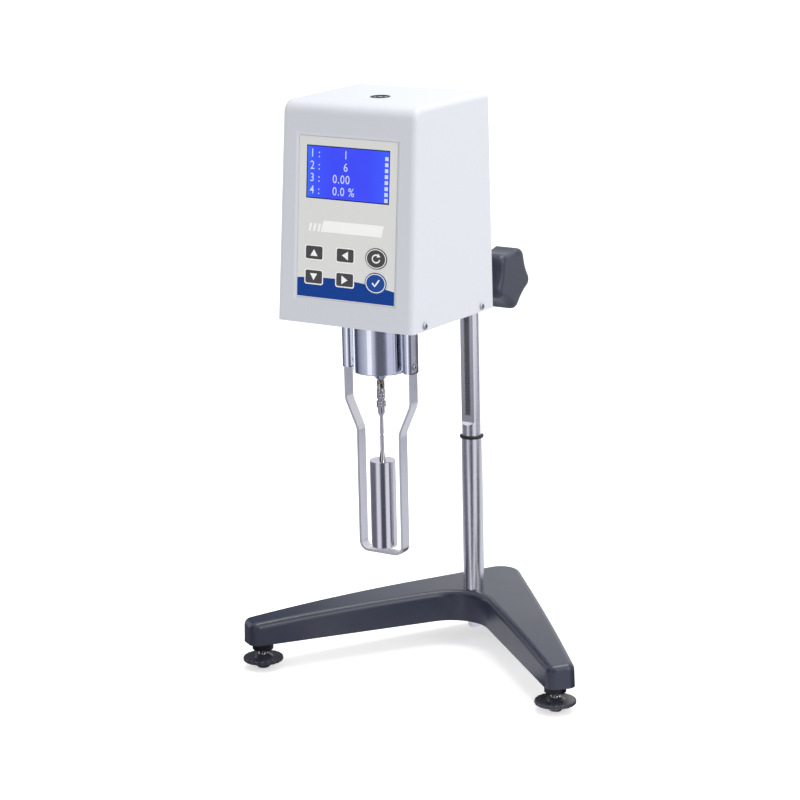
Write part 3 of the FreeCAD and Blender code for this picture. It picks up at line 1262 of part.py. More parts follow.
def jewel_bearing():
    """Bearing ring on the cup's floor that carries the sensing shaft's collar."""
    low = CUP_BOTTOM + CUP_FLOOR
    profile = [(SHAFT_RADIUS + RUN_GAP, low), (JEWEL_RADIUS, low), (JEWEL_RADIUS, low + JEWEL_HEIGHT),
               (SHAFT_RADIUS + RUN_GAP, low + JEWEL_HEIGHT)]
    return turned(profile)


def guard_outline(inset):
    """Outline of the guard in (X, Z), left open above when inset."""
    top = PLATE_LOW + (inset + DEEP_OVERRUN if inset else 0)
    low, high = GUARD_HALF_LOWER, GUARD_HALF_UPPER
    points = [(-low, GUARD_BOTTOM), (low, GUARD_BOTTOM), (low, GUARD_BEND_LOW), (high, GUARD_BEND_HIGH),
              (high, top), (-high, top), (-high, GUARD_BEND_HIGH), (-low, GUARD_BEND_LOW)]
    bend, corner = GUARD_BEND_RADIUS, GUARD_CORNER_RADIUS
    return rounded_outline(points, [corner, corner, bend, bend, 0, 0, bend, bend], inset)


def guard():
    """Flat strip bent round the spindle, drilled at the top of each leg."""
    half = GUARD_WIDTH / 2
    inside = prism(guard_outline(GUARD_THICKNESS), -half - OVERRUN, half + OVERRUN)
    strip = along_y(prism(guard_outline(0), -half, half).cut(inside))
    reach = GUARD_HALF_UPPER + OVERRUN
    height = GUARD_SCREW_HEIGHT
    return strip.cut(rod(M3_RADIUS + SEAT_GAP, (-reach, 0, height), (reach, 0, height)))


def guard_brackets():
    """Two channels under the bottom plate, each with a guard leg let into its outer face."""
    pieces = []
    for side in (-1, 1):
        outer = GUARD_HALF_UPPER + BRACKET_LIP
        inner = outer - BRACKET_DEPTH
        xs = sorted((side * inner, side * outer))
        body = block(xs[0], xs[1], -BRACKET_HALF_WIDTH, BRACKET_HALF_WIDTH, BRACKET_BOTTOM, PLATE_LOW)
        floor = GUARD_HALF_UPPER - GUARD_THICKNESS
        end = side * (outer + OVERRUN)
        xs = sorted((side * floor, end))
        half = GUARD_WIDTH / 2 + SEAT_GAP
        channel = block(xs[0], xs[1], -half, half, BRACKET_BOTTOM - OVERRUN, PLATE_LOW + OVERRUN)
        hole = rod(M3_RADIUS + SEAT_GAP, (0, 0, GUARD_SCREW_HEIGHT), (end, 0, GUARD_SCREW_HEIGHT))
        pieces.append(body.cut([channel, hole]))
    return group(pieces)


# Drive and torque sensing inside the head
def slotted_disc(height, hole):
    """Thin disc with a ring of windows near its rim."""
    body = upright(SIGNAL_DISC_RADIUS, height, height + SIGNAL_DISC_THICKNESS)
    low, high = height - OVERRUN, height + SIGNAL_DISC_THICKNESS + OVERRUN
    cuts = [upright(hole + PRESS_GAP, low, high)]
    for i in range(SIGNAL_SLOTS):
        window = block(SIGNAL_DISC_RADIUS - SENSOR_OVERLAP, SIGNAL_DISC_RADIUS - SLOT_RIM,
                       -SLOT_HALF, SLOT_HALF, low, high)
        window.rotate(Vector(0, 0, 0), Vector(0, 0, 1), 360 * i / SIGNAL_SLOTS)
        cuts.append(window)
    return body.cut(cuts)


def upper_disc():
    """Signal disc of the drive, with the peg that holds the spring's outer end."""
    body = slotted_disc(UPPER_DISC_HEIGHT, DRIVE_HUB_RADIUS)
    reach = SPRING_OUTER + SPRING_STRIP / 2 + PEG_RADIUS + SEAT_GAP
    peg = upright(PEG_RADIUS, LOWER_DISC_HEIGHT + SPRING_LIFT, UPPER_DISC_HEIGHT, -reach, 0)
    return joined([body, peg])


def lower_disc():
    """Signal disc of the sensing shaft."""
    return slotted_disc(LOWER_DISC_HEIGHT, LOWER_HUB_RADIUS)


def drive_hub():
    """Motor shaft with a hub that carries the upper disc and centres the sensing shaft's top."""
    low = UPPER_DISC_HEIGHT - DRIVE_HUB_DROP
    top = low + DRIVE_HUB_HEIGHT
    shaft_end = MOTOR_PLATE_LOW + MOTOR_PLATE_THICKNESS + MOTOR_HEIGHT / 2
    profile = [(0, low), (DRIVE_HUB_RADIUS, low), (DRIVE_HUB_RADIUS, top), (DRIVE_SHAFT_RADIUS, top),
               (DRIVE_SHAFT_RADIUS, shaft_end), (0, shaft_end)]
    return turned(profile).cut(upright(SHAFT_RADIUS + RUN_GAP, low - OVERRUN, SHAFT_TOP + RUN_GAP))


def hairspring():
    """Flat spiral spring from the sensing shaft's hub to the drive's peg."""
    count = int(SPRING_TURNS * SPRING_STEPS)
    inner_start = (LOWER_HUB_RADIUS + RUN_GAP) / math.cos(math.pi / SPRING_STEPS)
    outer_side, inner_side = [], []
    for i in range(count + 1):
        angle = math.pi + 2 * math.pi * (i - count) / SPRING_STEPS
        radius = inner_start + (SPRING_OUTER - inner_start) * i / count
        outer_side.append((radius + SPRING_STRIP / 2, angle))
        inner_side.append((max(radius - SPRING_STRIP / 2, inner_start), angle))
    outline = outer_side + inner_side[::-1]
    points = [Vector(r * math.cos(a), r * math.sin(a), 0) for r, a in outline]
    low = LOWER_DISC_HEIGHT + SPRING_LIFT
    return prism(Part.makePolygon(points + points[:1]), low, low + SPRING_HEIGHT)


def torque_shaft():
    """Sensing shaft: fork of the universal joint below, collar on the jewel, hub for the lower disc."""
    collar = CUP_BOTTOM + CUP_FLOOR + JEWEL_HEIGHT
    collar_top = collar + SHAFT_COLLAR_HEIGHT
    hub_low = LOWER_DISC_HEIGHT - HUB_DROP
    hub_top = LOWER_DISC_HEIGHT + SPRING_LIFT + SPRING_HEIGHT
    fork = JOINT_HEIGHT + JOINT_REACH
    hub = fork + JOINT_HUB_HEIGHT
    profile = [(0, fork), (JOINT_RADIUS, fork), (JOINT_RADIUS, hub), (SHAFT_RADIUS, hub),
               (SHAFT_RADIUS, collar), (2 * SHAFT_RADIUS, collar), (2 * SHAFT_RADIUS, collar_top),
               (SHAFT_RADIUS, collar_top),
               (SHAFT_RADIUS, hub_low), (LOWER_HUB_RADIUS, hub_low), (LOWER_HUB_RADIUS, hub_top),
               (SHAFT_RADIUS, hub_top), (SHAFT_RADIUS, SHAFT_TOP), (0, SHAFT_TOP)]
    ears = joint_ears(1, JOINT_HEIGHT - JOINT_BLOCK, fork)
    return joined([turned(profile)] + ears)


def joint_ears(axis, low, high):
    """Two ears of a fork about a cross pin along X (axis 1) or Y (axis 0), trimmed to the joint."""
    ears = []
    inner = JOINT_BLOCK + JOINT_EAR_GAP
    width = JOINT_BLOCK - JOINT_EAR_GAP / 2
    for side in (-1, 1):
        end = side * (JOINT_RADIUS + OVERRUN)
        ends = sorted((side * inner, end))
        if axis:
            ear = block(ends[0], ends[1], -width, width, low, high)
            pin = rod(JOINT_PIN_RADIUS + RUN_GAP, (0, 0, JOINT_HEIGHT), (end, 0, JOINT_HEIGHT))
        else:
            ear = block(-width, width, ends[0], ends[1], low, high)
            pin = rod(JOINT_PIN_RADIUS + RUN_GAP, (0, 0, JOINT_HEIGHT), (0, end, JOINT_HEIGHT))
        ears.append(ear.common(upright(JOINT_RADIUS, low, high)).cut(pin))
    return ears


def joint_block():
    """Brass cube of the universal joint with its two cross pins."""
    half = JOINT_BLOCK
    reach = JOINT_RADIUS - SEAT_GAP
    cube = block(-half, half, -half, half, JOINT_HEIGHT - half, JOINT_HEIGHT + half)
    return joined([cube, rod(JOINT_PIN_RADIUS, (-reach, 0, JOINT_HEIGHT), (reach, 0, JOINT_HEIGHT)),
                   rod(JOINT_PIN_RADIUS, (0, -reach, JOINT_HEIGHT), (0, reach, JOINT_HEIGHT))])


def coupling_sleeve():
    """Lower fork and threaded sleeve with a ridge, a neck and a knurled ring for the fingers."""
    top = JOINT_HEIGHT - JOINT_REACH
    ridge, neck, ring = SLEEVE_RIDGE_RADIUS, SLEEVE_NECK_RADIUS, SLEEVE_KNURL_RADIUS

    def down(share):
        """Height at a share of the sleeve's length below its top."""
        return top - SLEEVE_LENGTH * share

    profile = [(0, SLEEVE_LOW), (neck, SLEEVE_LOW), (neck, down(0.80)), (ring, down(0.79)),
               (ring, down(0.55)), (neck, down(0.53)), (neck, down(0.20)), (ridge, down(0.17)), (ridge, down(0.09)),
               (JOINT_RADIUS, down(0.06)), (JOINT_RADIUS, top), (0, top)]
    body = turned(profile)
    cuts = [upright(SPINDLE_SHAFT_RADIUS + RUN_GAP, SLEEVE_LOW - OVERRUN, down(0.5))]
    for i in range(KNURLS):
        angle = 2 * math.pi * i / KNURLS
        x, y = ring * math.cos(angle), ring * math.sin(angle)
        cuts.append(upright(KNURL_RADIUS, down(0.82), down(0.52), x, y))
    return joined([body.cut(cuts)] + joint_ears(0, top, JOINT_HEIGHT + JOINT_BLOCK))


def spindle():
    """Measuring spindle: cylinder, cone, thin shaft with a dipping mark, and a shoulder under the sleeve."""
    thin, wide, neck = SPINDLE_SHAFT_RADIUS, SPINDLE_RADIUS, SLEEVE_NECK_RADIUS
    shy = SPINDLE_CHAMFER
    mark = SPINDLE_TOP + SPINDLE_WAIST_LIFT
    half = SPINDLE_WAIST_HALF
    shank_top = SLEEVE_LOW + SLEEVE_LENGTH * 0.45
    profile = [(0, SPINDLE_LOW), (wide - shy, SPINDLE_LOW), (wide, SPINDLE_LOW + shy),
               (wide, SPINDLE_TOP - shy), (wide - shy, SPINDLE_TOP), (SPINDLE_CONE_RADIUS, SPINDLE_TOP),
               (thin, SPINDLE_TOP + SPINDLE_CONE_LENGTH), (thin, mark - half),
               (SPINDLE_WAIST_RADIUS, mark - half / 2), (SPINDLE_WAIST_RADIUS, mark + half / 2),
               (thin, mark + half), (thin, SLEEVE_LOW - SPINDLE_SHOULDER),
               (neck, SLEEVE_LOW - SPINDLE_SHOULDER_BAND), (neck, SLEEVE_LOW), (thin, SLEEVE_LOW),
               (thin, shank_top), (0, shank_top)]
    return turned(profile)


def disc_sensors():
    """Post with two slotted light gates, one astride the rim of each signal disc."""
    half = SENSOR_WIDTH / 2
    rim = SIGNAL_DISC_RADIUS
    post = block(rim + SENSOR_THICKNESS, rim + SENSOR_THICKNESS + SENSOR_POST, -half, half, PLATE_TOP,
                 UPPER_DISC_HEIGHT + SENSOR_THICKNESS)
    pieces = [post]
    for height in (LOWER_DISC_HEIGHT, UPPER_DISC_HEIGHT):
        middle = height + SIGNAL_DISC_THICKNESS / 2
        gate = block(rim - SENSOR_OVERLAP, rim + SENSOR_THICKNESS, -half, half, middle - SENSOR_THICKNESS,
                     middle + SENSOR_THICKNESS)
        slot = block(rim - SENSOR_OVERLAP - OVERRUN, rim + OVERRUN, -half - OVERRUN, half + OVERRUN,
                     middle - SENSOR_SLOT / 2, middle + SENSOR_SLOT / 2)
        pieces.append(gate.cut(slot))
    return joined(pieces)


def pillar_places():
    """X and Y of the pillars under the motor plate."""
    side = MOTOR_PLATE_HALF - PILLAR_INSET
    front, back = PILLAR_INSET - MOTOR_PLATE_FRONT, MOTOR_PLATE_BACK - PILLAR_INSET
    return [(x, y) for x in (-side, side) for y in (front, back)]


def plate_pillars():
    """Four pillars between the bottom plate and the motor plate."""
    return group([upright(PILLAR_RADIUS, PLATE_TOP, MOTOR_PLATE_LOW, x, y) for x, y in pillar_places()])


def motor_plate():
    """Plate that carries the motor above the discs."""
    half, front, back = MOTOR_PLATE_HALF, -MOTOR_PLATE_FRONT, MOTOR_PLATE_BACK
    corners = [(-half, front), (half, front), (half, back), (-half, back)]
    top = MOTOR_PLATE_LOW + MOTOR_PLATE_THICKNESS
    plate = prism(rounded_outline(corners, [PILLAR_INSET] * 4), MOTOR_PLATE_LOW, top)
    return plate.cut(upright(DRIVE_SHAFT_RADIUS + OVERRUN, MOTOR_PLATE_LOW - OVERRUN, top + OVERRUN))


def motor():
    """Slow geared motor: can, crown and two fixing ears."""
    low = MOTOR_PLATE_LOW + MOTOR_PLATE_THICKNESS
    high = low + MOTOR_HEIGHT
    reach, half = MOTOR_RADIUS + MOTOR_EAR_REACH, MOTOR_EAR_HALF
    can = upright(MOTOR_RADIUS, low, high)
    crown = upright(MOTOR_RADIUS - MOTOR_SHOULDER, high, high + MOTOR_CROWN)
    corners = [(-reach, -half), (reach, -half), (reach, half), (-reach, half)]
    ears = prism(rounded_outline(corners, [MOTOR_EAR_ROUND] * 4), low, low + MOTOR_EAR_THICKNESS)
    bore = upright(DRIVE_SHAFT_RADIUS + RUN_GAP, low - OVERRUN, low + MOTOR_HEIGHT / 2 + RUN_GAP)
    return joined([can, crown, ears]).cut(bore)


def main_board():
    """Circuit board on stand-offs in front of the chassis plate, with its larger components."""
    low = HEAD_BOTTOM + MAIN_BOARD_LOW
    high = HEAD_BOTTOM + MAIN_BOARD_HIGH
    back = CHASSIS_BACK - STANDOFF
    front = back - BOARD_THICKNESS
    pieces = [block(-MAIN_BOARD_HALF, MAIN_BOARD_HALF, front, back, low, high)]
    inset = STANDOFF / 2
    for x in (-MAIN_BOARD_HALF + inset, MAIN_BOARD_HALF - inset):
        for z in (low + inset, high - inset):
            pieces.append(rod(inset, (x, back, z), (x, CHASSIS_BACK, z)))
    middle = (low + high) / 2
    relay = middle + RELAY_RISE
    pieces += [block(-CHIP_HALF, CHIP_HALF, front - CHIP_HEIGHT, front,
                     middle - CHIP_HALF, middle + CHIP_HALF),
               block(RELAY_SIDE - RELAY_HALF_WIDTH, RELAY_SIDE + RELAY_HALF_WIDTH, front - RELAY_DEPTH, front,
                     relay - RELAY_HALF_HEIGHT, relay + RELAY_HALF_HEIGHT)]
    for radius, depth, rise in (LARGE_CAPACITOR, SMALL_CAPACITOR):
        z = middle + rise
        pieces.append(rod(radius, (CAPACITOR_SIDE, front, z), (CAPACITOR_SIDE, front - depth, z)))
    return joined(pieces)


# The whole instrument
parts["base_casting"] = base_casting()
parts["foot_bushes"] = on_base(group([foot_bush(x, y) for x, y in FOOT_PLACES.values()]))
for name, (x, y) in FOOT_PLACES.items():
    parts["foot_pad_" + name] = on_base(foot_pad(x, y))
    parts["foot_stud_" + name] = on_base(foot_stud(x, y))
    parts["foot_disc_" + name] = on_base(foot_disc(x, y))
for build in (column, column_rack, column_stop_ring, column_nut, lift_clamp, clamp_screws, pinion_shaft,
              shaft_collar, lift_knob, arm_rod, arm_nut, head_cover, head_screws, bottom_plate, front_label,
              display_window, front_board, level_ring, level_glass, chassis_plate, rear_panel, power_switch,
              power_rocker, power_inlet, data_port, bearing_cup, nose_cone, jewel_bearing, guard,
              guard_brackets, upper_disc, lower_disc, drive_hub, hairspring, torque_shaft, joint_block,
              coupling_sleeve, spindle, disc_sensors, plate_pillars, motor_plate, motor, main_board):
    parts[build.__name__] = build()
for name, place in KEYS.items():
    parts[name] = key(place)

# Saved with the origin under the middle of the whole bounding box
whole = FreeCAD.BoundBox()
for shape in parts.values():
    whole.add(shape.optimalBoundingBox(False, False))
ORIGIN = Vector(-(whole.XMin + whole.XMax) / 2, -(whole.YMin + whole.YMax) / 2, 0)
os.makedirs("parts", exist_ok=True)
for name, shape in parts.items():
    shape.translate(ORIGIN)
    shape.exportStep("parts/" + name + ".step")
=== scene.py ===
import math

import bmesh
import bpy
import numpy as np
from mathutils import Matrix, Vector


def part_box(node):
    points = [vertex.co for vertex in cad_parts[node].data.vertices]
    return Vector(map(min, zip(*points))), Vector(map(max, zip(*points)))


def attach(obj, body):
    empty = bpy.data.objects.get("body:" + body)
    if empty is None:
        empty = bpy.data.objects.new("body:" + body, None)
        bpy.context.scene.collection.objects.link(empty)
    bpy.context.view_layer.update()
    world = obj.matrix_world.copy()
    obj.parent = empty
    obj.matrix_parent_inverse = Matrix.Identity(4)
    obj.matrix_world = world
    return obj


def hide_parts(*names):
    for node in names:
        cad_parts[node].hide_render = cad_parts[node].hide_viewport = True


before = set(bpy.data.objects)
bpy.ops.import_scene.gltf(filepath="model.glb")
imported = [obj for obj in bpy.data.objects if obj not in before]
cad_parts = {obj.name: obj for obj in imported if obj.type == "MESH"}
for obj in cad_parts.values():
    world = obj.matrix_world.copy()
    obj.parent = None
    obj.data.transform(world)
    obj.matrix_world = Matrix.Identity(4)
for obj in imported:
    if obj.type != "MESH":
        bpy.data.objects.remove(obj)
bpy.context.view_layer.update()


# Base casting: grey iron poured as a hollow V, fettled, filled and sprayed with a dark
# blue-grey two-pack enamel. The paint rounds every edge and dries with a fine orange peel.
def colour(code):
    """Linear red, green, blue and alpha of an sRGB hex value."""
    shares = np.array([int(code[i:i + 2], 16) for i in (1, 3, 5)]) / 255
    linear = np.where(shares <= 0.04045, shares / 12.92, ((shares + 0.055) / 1.055) ** 2.4)
    return (*linear.tolist(), 1.0)


def add(tree, kind, inputs=None, **settings):
    """Shader node with its settings; an input given a socket is linked, any other is set."""
    node = tree.nodes.new(kind)
    for name, value in settings.items():
        setattr(node, name, value)
    for name, value in (inputs or {}).items():
        if isinstance(value, bpy.types.NodeSocket):
            tree.links.new(value, node.inputs[name])
        else:
            node.inputs[name].default_value = value
    return node


def finish(name, sockets):
    """New material, its node tree and its surface shader, with constants set on the shader's sockets."""
    material = bpy.data.materials.new(name)
    material.use_nodes = True
    shader = material.node_tree.nodes["Principled BSDF"]
    for socket, value in sockets.items():
        shader.inputs[socket].default_value = value
    return material, material.node_tree, shader


def dress(material, *nodes):
    """Give CAD nodes this material."""
    for node in nodes:
        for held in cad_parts[node].material_slots:
            held.material = material


looks = {"Metallic": 0.0, "IOR": 1.5, "Coat Weight": 0.2, "Coat Roughness": 0.2}
enamel, tree, shader = finish("blue_grey_enamel", looks)
place = add(tree, "ShaderNodeTexCoord").outputs["Object"]
cloud = add(tree, "ShaderNodeTexNoise", {"Vector": place, "Scale": 1 / 0.045, "Detail": 3.0})
shades = {"Factor": cloud.outputs["Fac"], "A": colour("#23283A"), "B": colour("#292F42")}
tint = add(tree, "ShaderNodeMix", shades, data_type="RGBA")
peel = add(tree, "ShaderNodeTexNoise", {"Vector": place, "Scale": 1 / 0.0014, "Detail": 2.0})
relief = add(tree, "ShaderNodeBump", {"Height": peel.outputs["Fac"], "Strength": 0.12, "Distance": 0.0002})
gloss = add(tree, "ShaderNodeMapRange", {"Value": cloud.outputs["Fac"], "To Min": 0.34, "To Max": 0.44})
tree.links.new(tint.outputs["Result"], shader.inputs["Base Color"])
tree.links.new(gloss.outputs["Result"], shader.inputs["Roughness"])
tree.links.new(relief.outputs["Normal"], shader.inputs["Normal"])
dress(enamel, "base_casting")


# Levelling feet: black glass-filled nylon hand discs and pads, moulded with a spark-eroded
# texture, on rolled-thread stainless studs. The threads are surfaces of their own.
def surface(name, points, wrap_rows=False, wrap_columns=False):
    """Object from a grid of points: each cell is a quad that faces columns x rows.

    A wrapped direction runs on from its last line to its first, and points that fall together
    at a pole are merged, which closes it.
    """
    rows, columns = points.shape[:2]
    index = np.arange(rows * columns).reshape(rows, columns)
    if wrap_rows:
        index = np.vstack([index, index[:1]])
    if wrap_columns:
        index = np.hstack([index, index[:, :1]])
    corners = [index[:-1, :-1], index[:-1, 1:], index[1:, 1:], index[1:, :-1]]
    mesh = bpy.data.meshes.new(name)
    mesh.from_pydata(points.reshape(-1, 3), [], np.stack(corners, axis=-1).reshape(-1, 4))
    shape = bmesh.new()
    shape.from_mesh(mesh)
    bmesh.ops.remove_doubles(shape, verts=shape.verts, dist=1e-7)
    shape.to_mesh(mesh)
    shape.free()
    mesh.shade_smooth()
    mesh.set_sharp_from_angle(angle=math.radians(32))
    return placed(name, mesh)


def placed(name, data):
    """New object in the scene for a mesh, a curve, a light or a camera."""
    piece = bpy.data.objects.new(name, data)
    bpy.context.scene.collection.objects.link(piece)
    return piece


def lathe(radii, heights, x, y, around=96):
    """Grid of a profile turned about the vertical through (x, y).

    A point lies at x plus its radius times the angle's cosine, y plus its radius times the sine,
    and its height. The radii are one for each height, or a grid of heights by angles.
    """
    angle = np.linspace(0, 2 * np.pi, around, endpoint=False)
    radii = np.asarray(radii, float)
    if radii.ndim == 1:
        radii = radii[:, None]
    grid = (x + radii * np.cos(angle), y + radii * np.sin(angle), np.reshape(heights, (-1, 1)))
    return np.stack(np.broadcast_arrays(*grid), axis=-1)


def put(piece, material, body, slot, *nodes):
    """Finish a piece: its material, the body it rides on and the CAD nodes it stands for. The slot is not
    used.
    """
    piece.data.materials.append(material)
    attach(piece, body)
    if nodes:
        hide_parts(*nodes)
    return piece


def middle(node):
    """X and Y of the middle of a CAD node's box."""
    low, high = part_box(node)
    return (low[0] + high[0]) / 2, (low[1] + high[1]) / 2


# The texture breaks the light up, so the discs and pads look dull black. Its grit is drawn at
# 0.6 mm, coarser than the real one, so that it shows
nylon, tree, shader = finish("black_glass_filled_nylon", {"Base Color": colour("#34343E"), "IOR": 1.53})
place = add(tree, "ShaderNodeTexCoord").outputs["Object"]
grit = add(tree, "ShaderNodeTexNoise", {"Vector": place, "Scale": 1 / 0.0006, "Detail": 3.0})
wear = add(tree, "ShaderNodeMapRange", {"Value": grit.outputs["Fac"], "To Min": 0.24, "To Max": 0.36})
relief = add(tree, "ShaderNodeBump", {"Height": grit.outputs["Fac"], "Strength": 0.25, "Distance": 0.0001})
tree.links.new(wear.outputs["Result"], shader.inputs["Roughness"])
tree.links.new(relief.outputs["Normal"], shader.inputs["Normal"])

# Fine turning rings draw the highlights out into bright upright lines
looks = {"Base Color": colour("#DAD9E0"), "Metallic": 1.0}
stainless, tree, shader = finish("turned_stainless_steel", looks)
place = add(tree, "ShaderNodeTexCoord").outputs["Object"]
rings = add(tree, "ShaderNodeMapping", {"Vector": place, "Scale": (40.0, 40.0, 1 / 0.0004)})
lines = add(tree, "ShaderNodeTexNoise", {"Vector": rings.outputs["Vector"], "Scale": 1.0, "Detail": 2.0})
polish = add(tree, "ShaderNodeMapRange", {"Value": lines.outputs["Fac"], "To Min": 0.1, "To Max": 0.18})
relief = add(tree, "ShaderNodeBump", {"Height": lines.outputs["Fac"], "Strength": 0.06, "Distance": 0.0001})
tree.links.new(polish.outputs["Result"], shader.inputs["Roughness"])
tree.links.new(relief.outputs["Normal"], shader.inputs["Normal"])

thread_pitch = 0.00125
thread_depth = 0.00055
thread_steps = 140
stud_radius = 0.0038
stud_neck = 0.0029
stud_point = 0.0031
stud_shoulder = 0.009
stud_runout = 0.0001
stud_chamfer = 0.0008
stud_around = 48
for side in ("left", "right", "rear"):
    dress(nylon, "foot_disc_" + side, "foot_pad_" + side)
    x, y = middle("foot_stud_" + side)
    low, high = (corner[2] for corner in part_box("foot_stud_" + side))
    # A V thread is a triangle wave of height less turn
    heights = np.linspace(low + stud_shoulder + stud_runout, high - stud_chamfer, thread_steps)
    turn = np.linspace(0, 1, stud_around, endpoint=False)
    wave = np.abs(((heights[:, None] / thread_pitch - turn) % 1) * 2 - 1)
    foot = np.repeat([[0.0], [stud_neck], [stud_neck], [stud_radius]], stud_around, axis=1)
    point = np.repeat([[stud_point], [0.0]], stud_around, axis=1)
    radii = np.vstack([foot, stud_radius - thread_depth * wave, point])
    heights = np.concatenate([[low, low], [low + stud_shoulder] * 2, heights, [high, high]])
    stud = surface("stud_thread_" + side, lathe(radii, heights, x, y, stud_around), wrap_columns=True)
    put(stud, stainless, "foot_screw_" + side, "polished_steel", "foot_stud_" + side)

# The oxide is dark and uneven, with dull highlights
blackened, tree, shader = finish("blackened_steel", {"Base Color": colour("#2A2A2D"), "Metallic": 0.85})
place = add(tree, "ShaderNodeTexCoord").outputs["Object"]
bloom = add(tree, "ShaderNodeTexNoise", {"Vector": place, "Scale": 1 / 0.004, "Detail": 4.0})
dulled = add(tree, "ShaderNodeMapRange", {"Value": bloom.outputs["Fac"], "To Min": 0.34, "To Max": 0.5})
tree.links.new(dulled.outputs["Result"], shader.inputs["Roughness"])
dress(blackened, "foot_bushes", "column_nut", "shaft_collar", "clamp_screws")

# Column: a centreless-ground steel bar, hard-chrome plated, with a milled flat that holds a
# bright toothed strip, and a black nitrile ring above the step.
# Faint grinding rings vary the bar's gloss up its length, and its reflections stay clear.
chromed_bar, tree, shader = finish("ground_chromed_bar", {"Base Color": colour("#DEDEE4"), "Metallic": 1.0})
place = add(tree, "ShaderNodeTexCoord").outputs["Object"]
rings = add(tree, "ShaderNodeMapping", {"Vector": place, "Scale": (30.0, 30.0, 1 / 0.0007)})
lines = add(tree, "ShaderNodeTexNoise", {"Vector": rings.outputs["Vector"], "Scale": 1.0, "Detail": 3.0})
polish = add(tree, "ShaderNodeMapRange", {"Value": lines.outputs["Fac"], "To Min": 0.22, "To Max": 0.27})
tree.links.new(polish.outputs["Result"], shader.inputs["Roughness"])
dress(chromed_bar, "column")

# Cutter marks leave a grey sheen with no clear reflections
machined, tree, shader = finish("machined_gear_steel", {"Base Color": colour("#ACACB2"), "Metallic": 1.0})
place = add(tree, "ShaderNodeTexCoord").outputs["Object"]
marks = add(tree, "ShaderNodeTexNoise", {"Vector": place, "Scale": 1 / 0.0008, "Detail": 2.0})
dulled = add(tree, "ShaderNodeMapRange", {"Value": marks.outputs["Fac"], "To Min": 0.26, "To Max": 0.42})
tree.links.new(dulled.outputs["Result"], shader.inputs["Roughness"])
dress(machined, "column_rack", "pinion_shaft")

# Rubber looks black and nearly matt
nitrile, tree, shader = finish("nitrile_rubber_ring", {"Base Color": colour("#161617"), "IOR": 1.52})
place = add(tree, "ShaderNodeTexCoord").outputs["Object"]
bloom = add(tree, "ShaderNodeTexNoise", {"Vector": place, "Scale": 1 / 0.0015, "Detail": 3.0})
dulled = add(tree, "ShaderNodeMapRange", {"Value": bloom.outputs["Fac"], "To Min": 0.5, "To Max": 0.7})
tree.links.new(dulled.outputs["Result"], shader.inputs["Roughness"])
dress(nitrile, "column_stop_ring")

# Lift clamp and arm: a steel block milled, tumbled and nickel plated, crossed by the pinion's
# shaft, with a plated arm into the head.
# Tumbling leaves soft reflections with a slow waviness.
nickel, tree, shader = finish("satin_nickel_plate", {"Base Color": colour("#BDBEC0"), "Metallic": 1.0})
place = add(tree, "ShaderNodeTexCoord").outputs["Object"]
haze = add(tree, "ShaderNodeTexNoise", {"Vector": place, "Scale": 1 / 0.012, "Detail": 2.0})
dulled = add(tree, "ShaderNodeMapRange", {"Value": haze.outputs["Fac"], "To Min": 0.24, "To Max": 0.3})
relief = add(tree, "ShaderNodeBump", {"Height": haze.outputs["Fac"], "Strength": 0.03, "Distance": 0.0001})
tree.links.new(dulled.outputs["Result"], shader.inputs["Roughness"])
tree.links.new(relief.outputs["Normal"], shader.inputs["Normal"])
dress(nickel, "lift_clamp", "arm_rod", "arm_nut")

# Lift knob: phenolic, compression moulded in five lobes with a rolled edge and a round skirt.
# It comes from a polished tool, so it is smooth with a soft sheen and faint flow clouds.
phenolic, tree, shader = finish("moulded_phenolic", {"IOR": 1.6, "Specular IOR Level": 0.35})
place = add(tree, "ShaderNodeTexCoord").outputs["Object"]
clouds = {"Vector": place, "Scale": 1 / 0.009, "Detail": 5.0, "Distortion": 0.6}
flow = add(tree, "ShaderNodeTexNoise", clouds)
shades = {"Factor": flow.outputs["Fac"], "A": colour("#2B2F3D"), "B": colour("#353A4A")}
tint = add(tree, "ShaderNodeMix", shades, data_type="RGBA")
dulled = add(tree, "ShaderNodeMapRange", {"Value": flow.outputs["Fac"], "To Min": 0.34, "To Max": 0.46})
tree.links.new(tint.outputs["Result"], shader.inputs["Base Color"])
tree.links.new(dulled.outputs["Result"], shader.inputs["Roughness"])
dress(phenolic, "lift_knob")

# Head cover: ABS, injection moulded in a cool light grey with a fine spark-eroded texture that
# spreads the light, so the faces look satin.
abs_grey, tree, shader = finish("moulded_light_grey_abs", {"Base Color": colour("#D2D5DC"), "IOR": 1.53})
place = add(tree, "ShaderNodeTexCoord").outputs["Object"]
grain = add(tree, "ShaderNodeTexNoise", {"Vector": place, "Scale": 1 / 0.0009, "Detail": 3.0})
relief = add(tree, "ShaderNodeBump", {"Height": grain.outputs["Fac"], "Strength": 0.1, "Distance": 0.0001})
haze = add(tree, "ShaderNodeTexNoise", {"Vector": place, "Scale": 1 / 0.06, "Detail": 2.0})
dulled = add(tree, "ShaderNodeMapRange", {"Value": haze.outputs["Fac"], "To Min": 0.4, "To Max": 0.48})
tree.links.new(dulled.outputs["Result"], shader.inputs["Roughness"])
tree.links.new(relief.outputs["Normal"], shader.inputs["Normal"])
dress(abs_grey, "head_cover")

# Front label: printed polyester film stuck in the recess, light grey with a blue band along its
# foot, a white slanted flash with three strokes, and white borders round the keys.
head_low = 0.2812
head_front = 0.045
front_lean = math.radians(4.8)
spindle_x, spindle_y = middle("spindle")


